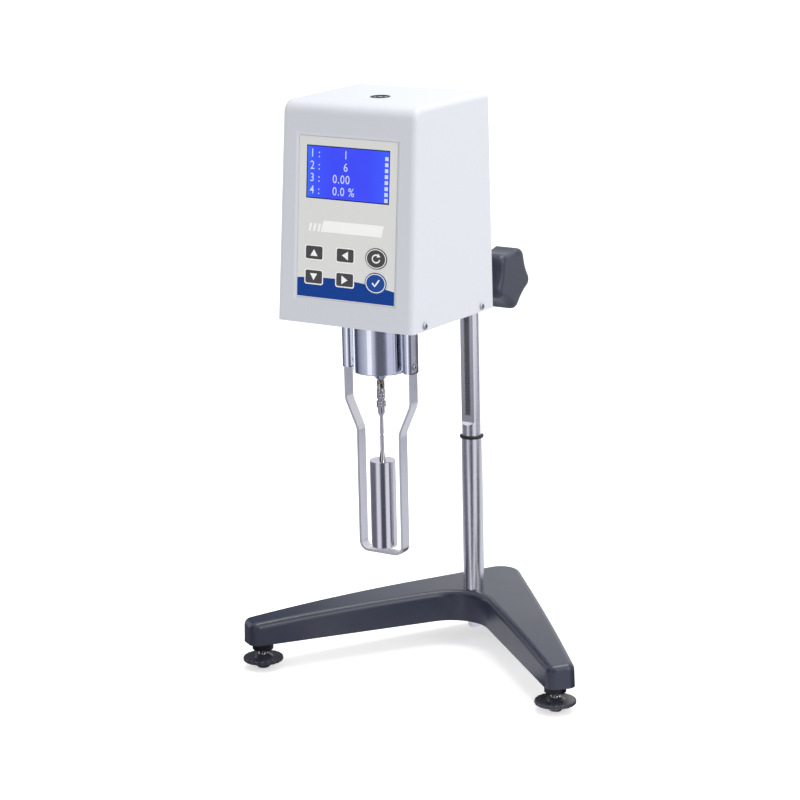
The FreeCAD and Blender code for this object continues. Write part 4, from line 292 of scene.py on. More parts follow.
def on_front(across, up, out):
    """Points on the leaning front from millimetres: across, up along the lean and out square to it.

    Up and out are turned by the lean's angle and added to the foot of the front.
    """
    across, up, out = np.broadcast_arrays(np.asarray(across, float), up, out)
    lean_sine, lean_cosine = math.sin(front_lean), math.cos(front_lean)
    return np.stack([spindle_x + across / 1000,
                     spindle_y - head_front + (up * lean_sine - out * lean_cosine) / 1000,
                     head_low + (up * lean_cosine + out * lean_sine) / 1000], axis=-1)


def patch(name, corners, out):
    """Flat print between corners in millimetres: lower left, lower right, upper right, upper left.

    A point is its share up between the lower and the upper edge, at its share across both.
    """
    low_left, low_right, high_right, high_left = np.asarray(corners, float)
    s, t = np.meshgrid(np.linspace(0, 1, 9), np.linspace(0, 1, 5))
    s, t = s[..., None], t[..., None]
    lower = (1 - s) * low_left + s * low_right
    upper = (1 - s) * high_left + s * high_right
    spot = (1 - t) * lower + t * upper
    return surface(name, on_front(spot[..., 0], spot[..., 1], out))


def rectangle(left, right, low, high):
    """Corners of an upright rectangle, in the order that a patch takes."""
    return [(left, low), (right, low), (right, high), (left, high)]


def ring(name, centre, inner, outer, out, square=None, around=72):
    """Flat ring between two half sizes in millimetres: elliptical, or square with a corner radius.

    A square's point is a far ray clipped to the straight sides, plus the corner's radius at its angle.
    """
    angle = np.linspace(0, 2 * np.pi, around, endpoint=False)
    far = 99
    rings = []
    for half in (outer, inner):
        if square is None:
            x, y = half[0] * np.cos(angle), half[1] * np.sin(angle)
        else:
            corner = square + (half[0] - inner[0]) * 0.8
            flat_x, flat_y = half[0] - corner, half[1] - corner
            x = np.clip(far * np.cos(angle), -flat_x, flat_x) + corner * np.cos(angle)
            y = np.clip(far * np.sin(angle), -flat_y, flat_y) + corner * np.sin(angle)
        rings.append(on_front(centre[0] + x, centre[1] + y, out))
    return surface(name, np.stack(rings), wrap_columns=True)


# The film has a low sheen and looks a little warmer than the cover
polyester, tree, shader = finish("printed_polyester_film", {"Base Color": colour("#E4E4E2"), "IOR": 1.57})
place = add(tree, "ShaderNodeTexCoord").outputs["Object"]
grain = add(tree, "ShaderNodeTexNoise", {"Vector": place, "Scale": 1 / 0.0007, "Detail": 2.0})
dulled = add(tree, "ShaderNodeMapRange", {"Value": grain.outputs["Fac"], "To Min": 0.36, "To Max": 0.44})
relief = add(tree, "ShaderNodeBump", {"Height": grain.outputs["Fac"], "Strength": 0.05, "Distance": 0.00005})
tree.links.new(dulled.outputs["Result"], shader.inputs["Roughness"])
tree.links.new(relief.outputs["Normal"], shader.inputs["Normal"])
dress(polyester, "front_label")


def ink(name, code):
    """Screen-printing ink: a flat colour with faint mesh marks in its gloss."""
    looks = {"Base Color": colour(code), "IOR": 1.5, "Specular IOR Level": 0.25}
    material, tree, shader = finish(name, looks)
    place = add(tree, "ShaderNodeTexCoord").outputs["Object"]
    marks = add(tree, "ShaderNodeTexNoise", {"Vector": place, "Scale": 1 / 0.0004, "Detail": 1.0})
    dulled = add(tree, "ShaderNodeMapRange", {"Value": marks.outputs["Fac"], "To Min": 0.36, "To Max": 0.46})
    tree.links.new(dulled.outputs["Result"], shader.inputs["Roughness"])
    return material


# Places and sizes on the leaning front are in millimetres, across from the spindle's axis
white_ink = ink("white_screen_ink", "#FDFDFC")
blue_ink = ink("blue_screen_ink", "#003E96")
label_face = -0.9
print_lift = 0.03
left_column, middle_column, right_column = -27.2, -0.6, 25.7
high_row, low_row = 50.8, 33.5
square_keys = {"key_up": (left_column, high_row), "key_left": (middle_column, high_row),
               "key_down": (left_column, low_row), "key_right": (middle_column, low_row)}

# The band's upper edge is a long arc that falls to the right, cut away where the lower keys move
band_half = 41.4
band_low = 19.0
band_crest = 33.6
square_hole = (7.3, 4.7)
round_hole = (9.2, 7.5)
across, share = np.meshgrid(np.linspace(-band_half, band_half, 829), np.linspace(0, 1, 4))
upper = band_crest - 0.00175 * (across + 12) ** 2
for column in (left_column, middle_column):
    cut = np.abs(across - column) < square_hole[0]
    upper = np.where(cut, np.minimum(upper, low_row - square_hole[1]), upper)
bow = np.sqrt(np.maximum(1 - ((across - right_column) / round_hole[0]) ** 2, 0))
upper = np.where(bow > 0, np.minimum(upper, low_row - round_hole[1] * bow), upper)
band = surface("blue_band", on_front(across, band_low + share * (upper - band_low), label_face + print_lift))
put(band, blue_ink, "head", "label_print")

flash_low = 66.0
flash = [(-22.0, flash_low), (29.5, flash_low), (31.5, 74.2), (-19.5, 74.2)]
put(patch("white_flash", flash, label_face + print_lift), white_ink, "head", "label_print")
for number, left in enumerate((-32.6, -28.8, -25.0)):
    slant = [(left, flash_low), (left + 2.0, flash_low), (left + 3.2, 71.6), (left + 1.2, 71.6)]
    stroke = patch(f"white_stroke_{number}", slant, label_face + print_lift)
    put(stroke, white_ink, "head", "label_print")
border_inner, border_outer = (7.15, 4.6), (8.1, 5.5)
border_corner = 1.2
border_out = label_face + 2 * print_lift
for key, centre in square_keys.items():
    border = ring(key + "_border", centre, border_inner, border_outer, border_out, border_corner)
    put(border, white_ink, "head", "label_print")


# Keys: silicone-topped caps in dark grey and blue, moulded with a matt top, with white symbols
# printed on them: four arrows, a return arrow and a tick.
def key_top(name, code):
    """Moulded key top: matt with a fine texture."""
    material, tree, shader = finish(name, {"Base Color": colour(code), "IOR": 1.45})
    place = add(tree, "ShaderNodeTexCoord").outputs["Object"]
    grain = add(tree, "ShaderNodeTexNoise", {"Vector": place, "Scale": 1 / 0.0005, "Detail": 2.0})
    dulled = add(tree, "ShaderNodeMapRange", {"Value": grain.outputs["Fac"], "To Min": 0.42, "To Max": 0.54})
    texture = {"Height": grain.outputs["Fac"], "Strength": 0.08, "Distance": 0.00005}
    relief = add(tree, "ShaderNodeBump", texture)
    tree.links.new(dulled.outputs["Result"], shader.inputs["Roughness"])
    tree.links.new(relief.outputs["Normal"], shader.inputs["Normal"])
    return material


dress(key_top("dark_grey_key_top", "#4A4A4C"), *square_keys, "key_reset")
dress(key_top("blue_key_top", "#0046A0"), "key_ok")
key_face = -0.6


def tapered_stroke(name, path, widths, out):
    """Flat ribbon: each point of a path in millimetres, moved half its width to either side."""
    path = np.asarray(path, float)
    way = np.gradient(path, axis=0)
    way /= np.linalg.norm(way, axis=1, keepdims=True)
    aside = np.stack([-way[:, 1], way[:, 0]], axis=-1) * np.asarray(widths, float)[:, None] / 2
    both = np.stack([path + aside, path - aside], axis=1)
    return surface(name, on_front(both[..., 0], both[..., 1], out))


arrow_width = 6.2
arrow_tip = 0.05
arrow_steps = 12
arrow_ways = {"key_up": (0, 1), "key_left": (-1, 0), "key_down": (0, -1), "key_right": (1, 0)}
for key, centre in square_keys.items():
    way = np.array(arrow_ways[key], float)
    reach = 2.4 if way[1] else 2.6
    path = np.asarray(centre) + np.outer(np.linspace(-reach, reach, arrow_steps), way)
    widths = np.linspace(arrow_width, arrow_tip, arrow_steps)
    arrow = tapered_stroke(key + "_arrow", path, widths, key_face + print_lift)
    put(arrow, white_ink, key, "key_grey")
ring_inner, ring_outer = (7.75, 6.2), (8.4, 6.75)
for key, height, slot in (("key_reset", high_row, "key_grey"), ("key_ok", low_row, "key_blue")):
    border = ring(key + "_ring", (right_column, height), ring_inner, ring_outer, key_face + print_lift)
    put(border, white_ink, key, slot)
turn = np.radians(np.linspace(60, 350, 40))
arc_half = (3.1, 2.7)
arc_width = 0.95
path = np.stack([right_column + arc_half[0] * np.cos(turn), high_row + arc_half[1] * np.sin(turn)], axis=-1)
arc = tapered_stroke("return_arc", path, np.full(len(turn), arc_width), key_face + print_lift)
put(arc, white_ink, "key_reset", "key_grey")
head_foot = np.array([right_column + 1.45, high_row + 2.35])
head_way = [0.95, -0.3]
head_width = 3.0
path = head_foot + np.outer(np.linspace(-0.4, 2.4, 8), head_way)
head = tapered_stroke("return_head", path, np.linspace(head_width, arrow_tip, 8), key_face + 2 * print_lift)
put(head, white_ink, "key_reset", "key_grey")
bends = [[-2.8, 0.1], [-1.7, -1.0], [-0.7, -2.1], [0.7, -0.4], [1.9, 1.1], [3.1, 2.6]]
path = np.array([right_column, low_row]) + bends
tick_width = 1.15
tick = tapered_stroke("tick", path, np.full(len(bends), tick_width), key_face + print_lift)
put(tick, white_ink, "key_ok", "key_blue")


# Display: a blue backlit dot-matrix module behind a clear acrylic window, which has a dark
# printed edge. Plain row numbers and readings stand on it, and a level bar of eight blocks.
# The acrylic is clear, with the faintest unevenness in its gloss.
looks = {"Base Color": colour("#FFFFFF"), "Transmission Weight": 1.0, "IOR": 1.49}
acrylic, tree, shader = finish("clear_acrylic", looks)
place = add(tree, "ShaderNodeTexCoord").outputs["Object"]
haze = add(tree, "ShaderNodeTexNoise", {"Vector": place, "Scale": 1 / 0.02})
dulled = add(tree, "ShaderNodeMapRange", {"Value": haze.outputs["Fac"], "To Min": 0.01, "To Max": 0.04})
tree.links.new(dulled.outputs["Result"], shader.inputs["Roughness"])
dress(acrylic, "display_window")

# The backlight's lamps stand at the left end, so it is brightest there and deep blue beyond
looks = {"Base Color": colour("#000010"), "Roughness": 0.4, "Emission Strength": 1.0}
backlight, tree, shader = finish("blue_backlight", looks)
uv = add(tree, "ShaderNodeUVMap", uv_map="sheet").outputs["UV"]
split = add(tree, "ShaderNodeSeparateXYZ", {"Vector": uv})
ramp = add(tree, "ShaderNodeValToRGB", {"Fac": split.outputs["X"]})
ramp.color_ramp.elements[0].color = colour("#3C86FF")
ramp.color_ramp.elements[1].color = colour("#3C66FF")
for stop, code in ((0.06, "#3A5CF6"), (0.3, "#3B46EE"), (0.75, "#3B48F0")):
    ramp.color_ramp.elements.new(stop).color = colour(code)
glow = add(tree, "ShaderNodeTexNoise", {"Vector": uv, "Scale": 2.5, "Detail": 1.0})
shades = {"Factor": glow.outputs["Fac"], "A": ramp.outputs["Color"], "B": colour("#4050FF")}
lit = add(tree, "ShaderNodeMix", shades, data_type="RGBA")
tree.links.new(lit.outputs["Result"], shader.inputs["Emission Color"])


def coordinates(mesh):
    """Array of a mesh's points, a row for each."""
    spots = np.empty(len(mesh.vertices) * 3)
    mesh.vertices.foreach_get("co", spots)
    return spots.reshape(-1, 3)


def mapped(piece):
    """Give a grid surface a UV map named sheet, from 0 to 1 over its own width and height."""
    mesh = piece.data
    spots = coordinates(mesh)[:, [0, 2]]
    share = (spots - spots.min(axis=0)) / np.ptp(spots, axis=0)
    corner = np.empty(len(mesh.loops), int)
    mesh.loops.foreach_get("vertex_index", corner)
    mesh.uv_layers.new(name="sheet").data.foreach_set("uv", share[corner].ravel())
    return piece


window_low, window_high = 89.2, 126.9
screen_half = 34.6
screen_margin = 0.7
screen_out = -1.26
lit_out = screen_out + 2 * print_lift
screen = rectangle(-screen_half, screen_half, window_low + screen_margin, window_high - screen_margin)
put(mapped(patch("lit_screen", screen, screen_out)), backlight, "head", "window_clear")
window_middle = (0, (window_low + window_high) / 2)
edge_inner, edge_outer = (34.5, 18.1), (35.3, 18.85)
edge_corner = 0.2
border = ring("window_border", window_middle, edge_inner, edge_outer, screen_out + print_lift, edge_corner)
put(border, ink("dark_window_border", "#152058"), "head", "window_clear")

# Dots stand 0.55 mm apart with dark lines between them
dot_pitch = 0.00055
dark_share = 0.18
looks = {"Base Color": colour("#101010"), "Roughness": 0.5, "Emission Color": colour("#DCE6FF")}
lit_dots, tree, shader = finish("lit_dots", looks)
place = add(tree, "ShaderNodeTexCoord").outputs["Object"]
dots = add(tree, "ShaderNodeVectorMath", {0: place, "Scale": 1 / dot_pitch}, operation="SCALE")
cell = add(tree, "ShaderNodeVectorMath", {0: dots.outputs["Vector"]}, operation="FRACTION")
split = add(tree, "ShaderNodeSeparateXYZ", {"Vector": cell.outputs["Vector"]})
columns = add(tree, "ShaderNodeMath", {0: split.outputs["X"], 1: dark_share}, operation="GREATER_THAN")
rows = add(tree, "ShaderNodeMath", {0: split.outputs["Z"], 1: dark_share}, operation="GREATER_THAN")
inputs = {0: columns.outputs["Value"], 1: rows.outputs["Value"]}
both = add(tree, "ShaderNodeMath", inputs, operation="MULTIPLY")
power = add(tree, "ShaderNodeMapRange", {"Value": both.outputs["Value"], "To Min": 0.55, "To Max": 1.0})
tree.links.new(power.outputs["Result"], shader.inputs["Emission Strength"])


def figures(name, words, across, up, tall):
    """Plain figures as a flat mesh on the front, from Blender's own typeface, in millimetres."""
    curve = bpy.data.curves.new(name, "FONT")
    curve.body = words
    curve.size = tall * 1.4
    curve.space_character = 1.12
    curve.offset = 0.02
    text = placed(name, curve)
    bpy.context.view_layer.update()
    mesh = bpy.data.meshes.new_from_object(text.evaluated_get(bpy.context.evaluated_depsgraph_get()))
    bpy.data.objects.remove(text)
    spots = coordinates(mesh)
    spots = on_front(across + spots[:, 0] * 0.92, up + spots[:, 1], lit_out)
    mesh.vertices.foreach_set("co", spots.ravel())
    return placed(name, mesh)


figure_height = 6.0
first_row = 8.4
row_pitch = 8.65
row_left = -32.4
readings = (("1", -4.0), ("6", -4.0), ("0.00", -13.0), ("0.0 %", -13.0))
for number, (reading, left) in enumerate(readings):
    up = window_high - first_row - row_pitch * number
    row = figures(f"row_{number}", f"{number + 1} :", row_left, up, figure_height)
    put(row, lit_dots, "head", "window_clear")
    put(figures(f"reading_{number}", reading, left, up, figure_height), lit_dots, "head", "window_clear")

first_block = 4.6
block_pitch = 4.15
block_height = 2.7
block_left, block_right = 31.0, 33.8
for number in range(8):
    up = window_high - first_block - block_pitch * number
    corners = rectangle(block_left, block_right, up - block_height, up)
    block = patch(f"level_block_{number}", corners, lit_out)
    put(block, lit_dots, "head", "window_clear")

# Boards and sensors inside the head: FR4 laminate with green solder mask, whose woven glass
# shows faintly through the lacquer.
looks = {"IOR": 1.55, "Coat Weight": 0.3, "Coat Roughness": 0.15}
laminate, tree, shader = finish("green_masked_laminate", looks)
place = add(tree, "ShaderNodeTexCoord").outputs["Object"]
weave = add(tree, "ShaderNodeTexVoronoi", {"Vector": place, "Scale": 1 / 0.0018}, distance="CHEBYCHEV")
shades = {"Factor": weave.outputs["Distance"], "A": colour("#14522E"), "B": colour("#1C6238")}
tint = add(tree, "ShaderNodeMix", shades, data_type="RGBA")
dulled = add(tree, "ShaderNodeMapRange", {"Value": weave.outputs["Distance"], "To Min": 0.3, "To Max": 0.45})
tree.links.new(tint.outputs["Result"], shader.inputs["Base Color"])
tree.links.new(dulled.outputs["Result"], shader.inputs["Roughness"])
dress(laminate, "front_board", "main_board", "disc_sensors")

# Bubble level: a black acetal cup let into the cover's top, with a filled vial. The bubble and
# the centring circle sit under the vial's crown.
# Acetal looks black with a low sheen.
acetal, tree, shader = finish("black_acetal", {"Base Color": colour("#1C1C1A"), "IOR": 1.48})
place = add(tree, "ShaderNodeTexCoord").outputs["Object"]
grain = add(tree, "ShaderNodeTexNoise", {"Vector": place, "Scale": 1 / 0.0008})
dulled = add(tree, "ShaderNodeMapRange", {"Value": grain.outputs["Fac"], "To Min": 0.25, "To Max": 0.35})
tree.links.new(dulled.outputs["Result"], shader.inputs["Roughness"])
dress(acetal, "level_ring")

# Painted shade: the fluid under clear glass is coloured olive black for the shade inside the level, and the
# glass gives a sharp highlight
looks = {"IOR": 1.47, "Coat Weight": 1.0, "Coat Roughness": 0.02, "Roughness": 0.08}
vial, tree, shader = finish("level_fluid_painted_shade", looks)
place = add(tree, "ShaderNodeTexCoord").outputs["Object"]
depth = add(tree, "ShaderNodeTexNoise", {"Vector": place, "Scale": 1 / 0.006})
shades = {"Factor": depth.outputs["Fac"], "A": colour("#12140F"), "B": colour("#1E211A")}
tint = add(tree, "ShaderNodeMix", shades, data_type="RGBA")
tree.links.new(tint.outputs["Result"], shader.inputs["Base Color"])
dress(vial, "level_glass")

# Painted shade: the air bubble under the glass is coloured dark olive, a little paler than the fluid, with a
# sharp highlight
looks = {"Base Color": colour("#2E3228"), "IOR": 1.33, "Coat Weight": 1.0, "Coat Roughness": 0.02}
painted_shade_bubble, tree, shader = finish("air_bubble_painted_shade", looks)
place = add(tree, "ShaderNodeTexCoord").outputs["Object"]
depth = add(tree, "ShaderNodeTexNoise", {"Vector": place, "Scale": 1 / 0.002})
dulled = add(tree, "ShaderNodeMapRange", {"Value": depth.outputs["Fac"], "To Min": 0.05, "To Max": 0.12})
tree.links.new(dulled.outputs["Result"], shader.inputs["Roughness"])

# The bubble is a flattened dome; the circle is a thin round ring
level_x, level_y = middle("level_glass")
level_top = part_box("level_glass")[1][2]
level_around = 48
bubble_radius, bubble_rise = 0.0021, 0.00025
circle_radius, circle_width, circle_thick = 0.0030, 0.00012, 0.0001
rise = np.linspace(0, np.pi / 2, 9)
heights = level_top + 0.0001 + bubble_rise * np.sin(rise)
dome = lathe(bubble_radius * np.cos(rise), heights, level_x, level_y, level_around)
put(surface("level_bubble", dome, wrap_columns=True), painted_shade_bubble, "head", "level_fluid")
section = np.linspace(0, 2 * np.pi, 8, endpoint=False)
heights = level_top + 0.00008 + circle_thick * np.sin(section)
circle = lathe(circle_radius + circle_width * np.cos(section), heights, level_x, level_y, level_around)
put(surface("level_circle", circle, wrap_rows=True, wrap_columns=True), nylon, "head", "level_fluid")

# Bottom plate, chassis and motor plate: aluminium sheet, punched, folded and satin anodised.
# The rolling direction shows as a faint grain.
looks = {"Base Color": colour("#C2C3C6"), "Metallic": 0.9}
anodised, tree, shader = finish("satin_anodised_aluminium", looks)
place = add(tree, "ShaderNodeTexCoord").outputs["Object"]
rolled = add(tree, "ShaderNodeMapping", {"Vector": place, "Scale": (1 / 0.02, 1 / 0.0006, 1 / 0.0006)})
lines = add(tree, "ShaderNodeTexNoise", {"Vector": rolled.outputs["Vector"], "Scale": 1.0, "Detail": 2.0})
dulled = add(tree, "ShaderNodeMapRange", {"Value": lines.outputs["Fac"], "To Min": 0.38, "To Max": 0.5})
tree.links.new(dulled.outputs["Result"], shader.inputs["Roughness"])
dress(anodised, "bottom_plate", "chassis_plate", "motor_plate", "plate_pillars")

# Screws: M3 steel, cold headed and bright zinc plated, with a cross recess.
# The zinc looks bright and faintly clouded.
zinc, tree, shader = finish("bright_zinc_plate", {"Base Color": colour("#B9BCC2"), "Metallic": 1.0})
place = add(tree, "ShaderNodeTexCoord").outputs["Object"]
haze = add(tree, "ShaderNodeTexNoise", {"Vector": place, "Scale": 1 / 0.0009, "Detail": 3.0})
dulled = add(tree, "ShaderNodeMapRange", {"Value": haze.outputs["Fac"], "To Min": 0.2, "To Max": 0.36})
tree.links.new(dulled.outputs["Result"], shader.inputs["Roughness"])
dress(zinc, "head_screws")

# Bearing cup, nose and guard brackets: brass and steel, turned or milled, buffed and chromed.
# The polish is a mirror with the faintest waviness.
chrome, tree, shader = finish("mirror_chrome", {"Base Color": colour("#CDD0DC"), "Metallic": 1.0})
place = add(tree, "ShaderNodeTexCoord").outputs["Object"]
waves = add(tree, "ShaderNodeTexNoise", {"Vector": place, "Scale": 1 / 0.012, "Detail": 1.0})
polish = add(tree, "ShaderNodeMapRange", {"Value": waves.outputs["Fac"], "To Min": 0.09, "To Max": 0.14})
relief = add(tree, "ShaderNodeBump", {"Height": waves.outputs["Fac"], "Strength": 0.03, "Distance": 0.001})
tree.links.new(polish.outputs["Result"], shader.inputs["Roughness"])
tree.links.new(relief.outputs["Normal"], shader.inputs["Normal"])
dress(chrome, "nose_cone")

cup_low, cup_high = (corner[2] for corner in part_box("bearing_cup"))
cup_mouth = 0.0060
cup_radius = 0.0196
cup_neck = 0.0182
cup_ease = 0.0006
cup_step = cup_low + 0.042
cup_profile = [(cup_mouth, cup_low), (cup_radius - cup_ease, cup_low), (cup_radius, cup_low + cup_ease),
               (cup_radius, cup_step), (cup_neck, cup_step + 0.0001), (cup_neck, cup_high)]
cup = surface("cup_shell", lathe(*np.array(cup_profile).T, spindle_x, spindle_y, 128), wrap_columns=True)
put(cup, chrome, "head", "cup_chrome", "bearing_cup")

# Each bracket is a channel: lips in front of and behind the guard's leg, both rounded outwards
low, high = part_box("guard_brackets")
bracket_reach = (high[0] - low[0]) / 2
bracket_half = (high[1] - low[1]) / 2
leg_half = 0.00455
lip_width = 0.0072
channel_depth = 0.0028
lip_radius = 0.0056
channel_floor = bracket_reach - channel_depth
swing = math.asin(lip_width / 2 / lip_radius)
bulge = np.linspace(-swing, swing, 13)
across = bracket_reach - lip_width / 2 + lip_radius * np.sin(bulge)
out = bracket_half - lip_radius * (1 - np.cos(bulge))
front_lip = np.stack([across, -out], axis=-1)
rear_lip = np.stack([across, out], axis=-1)[::-1]
channel = [(bracket_reach, -leg_half), (channel_floor, -leg_half),
           (channel_floor, leg_half), (bracket_reach, leg_half)]
outline = np.vstack([front_lip, channel, rear_lip])
count = len(outline)
here = np.arange(count)
after = (here + 1) % count
quads = np.stack([here, after, after + count, here + count], axis=-1)
for side, name in ((-1, "left"), (1, "right")):
    # The outline stands at the low and the high end, with a wall between them and a cap on each
    x, y = spindle_x + side * outline[:, 0], spindle_y + outline[:, 1]
    points = np.vstack([np.stack([x, y, np.full(count, z)], axis=-1) for z in (low[2], high[2])])
    faces = [*quads[:, ::side].tolist(), here[::-side].tolist(), (here + count)[::side].tolist()]
    mesh = bpy.data.meshes.new("bracket_" + name)
    mesh.from_pydata(points, [], faces)
    mesh.shade_smooth()
    mesh.set_sharp_from_angle(angle=math.radians(20))
    put(placed("bracket_" + name, mesh), chrome, "head", "cup_chrome", "guard_brackets")

# The nose's flange closes the cup's mouth
flange_radii = np.array([0.0, 0.0056, 0.0058, 0.0058, 0.0046])
flange_drops = np.array([0.0, 0.0001, 0.0003, 0.0014, 0.0021])
flange = lathe(flange_radii, cup_low - flange_drops, spindle_x, spindle_y)
put(surface("nose_flange", flange, wrap_columns=True), chrome, "head", "cup_chrome")

# Guard: one strip of stainless steel, brushed along its length and bent cold.
# The strokes run with the strip and stretch its highlights.
looks = {"Base Color": colour("#E0E0E6"), "Metallic": 1.0, "Anisotropic": 0.5}
brushed, tree, shader = finish("brushed_stainless_strip", looks)
place = add(tree, "ShaderNodeTexCoord").outputs["Object"]
strokes = add(tree, "ShaderNodeMapping", {"Vector": place, "Scale": (1 / 0.0005, 1 / 0.0003, 1 / 0.02)})
lines = add(tree, "ShaderNodeTexNoise", {"Vector": strokes.outputs["Vector"], "Scale": 1.0, "Detail": 3.0})
dulled = add(tree, "ShaderNodeMapRange", {"Value": lines.outputs["Fac"], "To Min": 0.22, "To Max": 0.38})
relief = add(tree, "ShaderNodeBump", {"Height": lines.outputs["Fac"], "Strength": 0.1, "Distance": 0.00005})
tree.links.new(dulled.outputs["Result"], shader.inputs["Roughness"])
tree.links.new(relief.outputs["Normal"], shader.inputs["Normal"])
dress(brushed, "guard")


# Sensing shaft, coupling and spindle: stainless steel turned and fine ground, with a brass
# block between the two forks. Two bands on the sleeve are rolled with a crossed knurl.
def worked_steel(name, code):
    """Machined steel handled in use: stained in spots, which vary its gloss."""
    material, tree, shader = finish(name, {"Base Color": colour(code), "Metallic": 1.0})
    place = add(tree, "ShaderNodeTexCoord").outputs["Object"]
    stain = add(tree, "ShaderNodeTexNoise", {"Vector": place, "Scale": 1 / 0.0012, "Detail": 3.0})
    dulled = add(tree, "ShaderNodeMapRange", {"Value": stain.outputs["Fac"], "To Min": 0.14, "To Max": 0.26})
    tree.links.new(dulled.outputs["Result"], shader.inputs["Roughness"])
    return material


dress(stainless, "spindle")
worked = worked_steel("handled_steel", "#B4B2BA")
dress(worked, "coupling_sleeve")
dress(worked_steel("browned_steel", "#968A7C"), "torque_shaft")

sleeve_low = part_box("coupling_sleeve")[0][2]
knurl_teeth = 9
knurl_depth = 0.00055
knurl_root = 0.0009
knurl_pitch = 0.0023
knurl_around = 144
for name, low, high, radius in (("lower", 0.0039, 0.0087, 0.0031), ("upper", 0.0102, 0.0154, 0.0027)):
    # Diamonds stand where the two crossing sets of grooves leave them
    heights = np.linspace(sleeve_low + low, sleeve_low + high, 49)
    share = np.linspace(0, 1, knurl_around, endpoint=False) * knurl_teeth
    climb = (heights / knurl_pitch)[:, None]
    waves = [np.abs((share + lean * climb) % 1 * 2 - 1) for lean in (1, -1)]
    radii = radius + knurl_depth * np.minimum(*waves)
    radii[0] = radii[-1] = radius - knurl_root
    band = lathe(radii, heights, spindle_x, spindle_y, knurl_around)
    put(surface("knurl_" + name, band, wrap_columns=True), worked, "spindle", "polished_steel")

# Brass looks warm yellow, dulled in spots by tarnish
brass, tree, shader = finish("bright_brass", {"Base Color": colour("#D9B25F"), "Metallic": 1.0})
place = add(tree, "ShaderNodeTexCoord").outputs["Object"]
tarnish = add(tree, "ShaderNodeTexNoise", {"Vector": place, "Scale": 1 / 0.002, "Detail": 3.0})
dulled = add(tree, "ShaderNodeMapRange", {"Value": tarnish.outputs["Fac"], "To Min": 0.18, "To Max": 0.34})
tree.links.new(dulled.outputs["Result"], shader.inputs["Roughness"])
dress(brass, "joint_block", "hairspring", "jewel_bearing", "drive_hub")

# Signal discs: thin aluminium, punched and dyed black.
# The dyed skin looks black with a metallic sheen.
dyed, tree, shader = finish("black_anodised_disc", {"Base Color": colour("#3A3B3E"), "Metallic": 0.7})
place = add(tree, "ShaderNodeTexCoord").outputs["Object"]
haze = add(tree, "ShaderNodeTexNoise", {"Vector": place, "Scale": 1 / 0.003, "Detail": 3.0})
dulled = add(tree, "ShaderNodeMapRange", {"Value": haze.outputs["Fac"], "To Min": 0.36, "To Max": 0.46})
tree.links.new(dulled.outputs["Result"], shader.inputs["Roughness"])
dress(dyed, "upper_disc", "lower_disc")

# Motor: a drawn steel can with a grey stoved enamel.
# The paint has a fine orange peel and a satin sheen.
stoved, tree, shader = finish("grey_stoved_enamel", {"Base Color": colour("#64686E"), "IOR": 1.5})
place = add(tree, "ShaderNodeTexCoord").outputs["Object"]
peel = add(tree, "ShaderNodeTexNoise", {"Vector": place, "Scale": 1 / 0.0012, "Detail": 2.0})
relief = add(tree, "ShaderNodeBump", {"Height": peel.outputs["Fac"], "Strength": 0.12, "Distance": 0.0001})
dulled = add(tree, "ShaderNodeMapRange", {"Value": peel.outputs["Fac"], "To Min": 0.36, "To Max": 0.44})
tree.links.new(dulled.outputs["Result"], shader.inputs["Roughness"])
tree.links.new(relief.outputs["Normal"], shader.inputs["Normal"])
dress(stoved, "motor")

# Rear panel and its fittings: painted steel sheet, a black rocker switch, a round power socket
# and a nine-way data socket, all in black plastic.
# The powder melts to a fine, even orange peel.
powder, tree, shader = finish("light_grey_powder_coat", {"Base Color": colour("#CFD1D6"), "IOR": 1.5})
place = add(tree, "ShaderNodeTexCoord").outputs["Object"]
peel = add(tree, "ShaderNodeTexNoise", {"Vector": place, "Scale": 1 / 0.0011, "Detail": 3.0})
relief = add(tree, "ShaderNodeBump", {"Height": peel.outputs["Fac"], "Strength": 0.2, "Distance": 0.0001})
dulled = add(tree, "ShaderNodeMapRange", {"Value": peel.outputs["Fac"], "To Min": 0.44, "To Max": 0.54})
tree.links.new(dulled.outputs["Result"], shader.inputs["Roughness"])
tree.links.new(relief.outputs["Normal"], shader.inputs["Normal"])
dress(powder, "rear_panel")
dress(nylon, "power_switch", "power_inlet", "data_port")

# Polished black plastic, brighter than the switch's frame
gloss_black, tree, shader = finish("gloss_black_rocker", {"Base Color": colour("#141416"), "IOR": 1.53})
place = add(tree, "ShaderNodeTexCoord").outputs["Object"]
haze = add(tree, "ShaderNodeTexNoise", {"Vector": place, "Scale": 1 / 0.003})
dulled = add(tree, "ShaderNodeMapRange", {"Value": haze.outputs["Fac"], "To Min": 0.12, "To Max": 0.2})
tree.links.new(dulled.outputs["Result"], shader.inputs["Roughness"])
dress(gloss_black, "power_rocker")

# Studio: a pale floor, a white surround, a soft lamp high on the right and a wider, stronger one
# overhead. Cards that only reflections see give the bright metal its bands.
floor_half = 6
floor_height = -0.0004
sides = np.linspace(-floor_half, floor_half, 9)
floor = surface("floor", np.stack(np.meshgrid(sides, sides, [floor_height]), axis=-1)[:, :, 0])
paper, tree, shader = finish("white_paper", {"Base Color": colour("#F4F4F4"), "Roughness": 0.9})
floor.data.materials.append(paper)
paper.cycles.emission_sampling = "NONE"


def seen_ray(tree):
    """Socket that is 1 for camera, glossy and transmission rays, and 0 for rays that light the object."""
    path = add(tree, "ShaderNodeLightPath")
    seen = path.outputs["Is Camera Ray"]
    for kind in ("Is Glossy Ray", "Is Transmission Ray"):
        inputs = {0: seen, 1: path.outputs[kind]}
        seen = add(tree, "ShaderNodeMath", inputs, operation="MAXIMUM").outputs["Value"]
    return seen


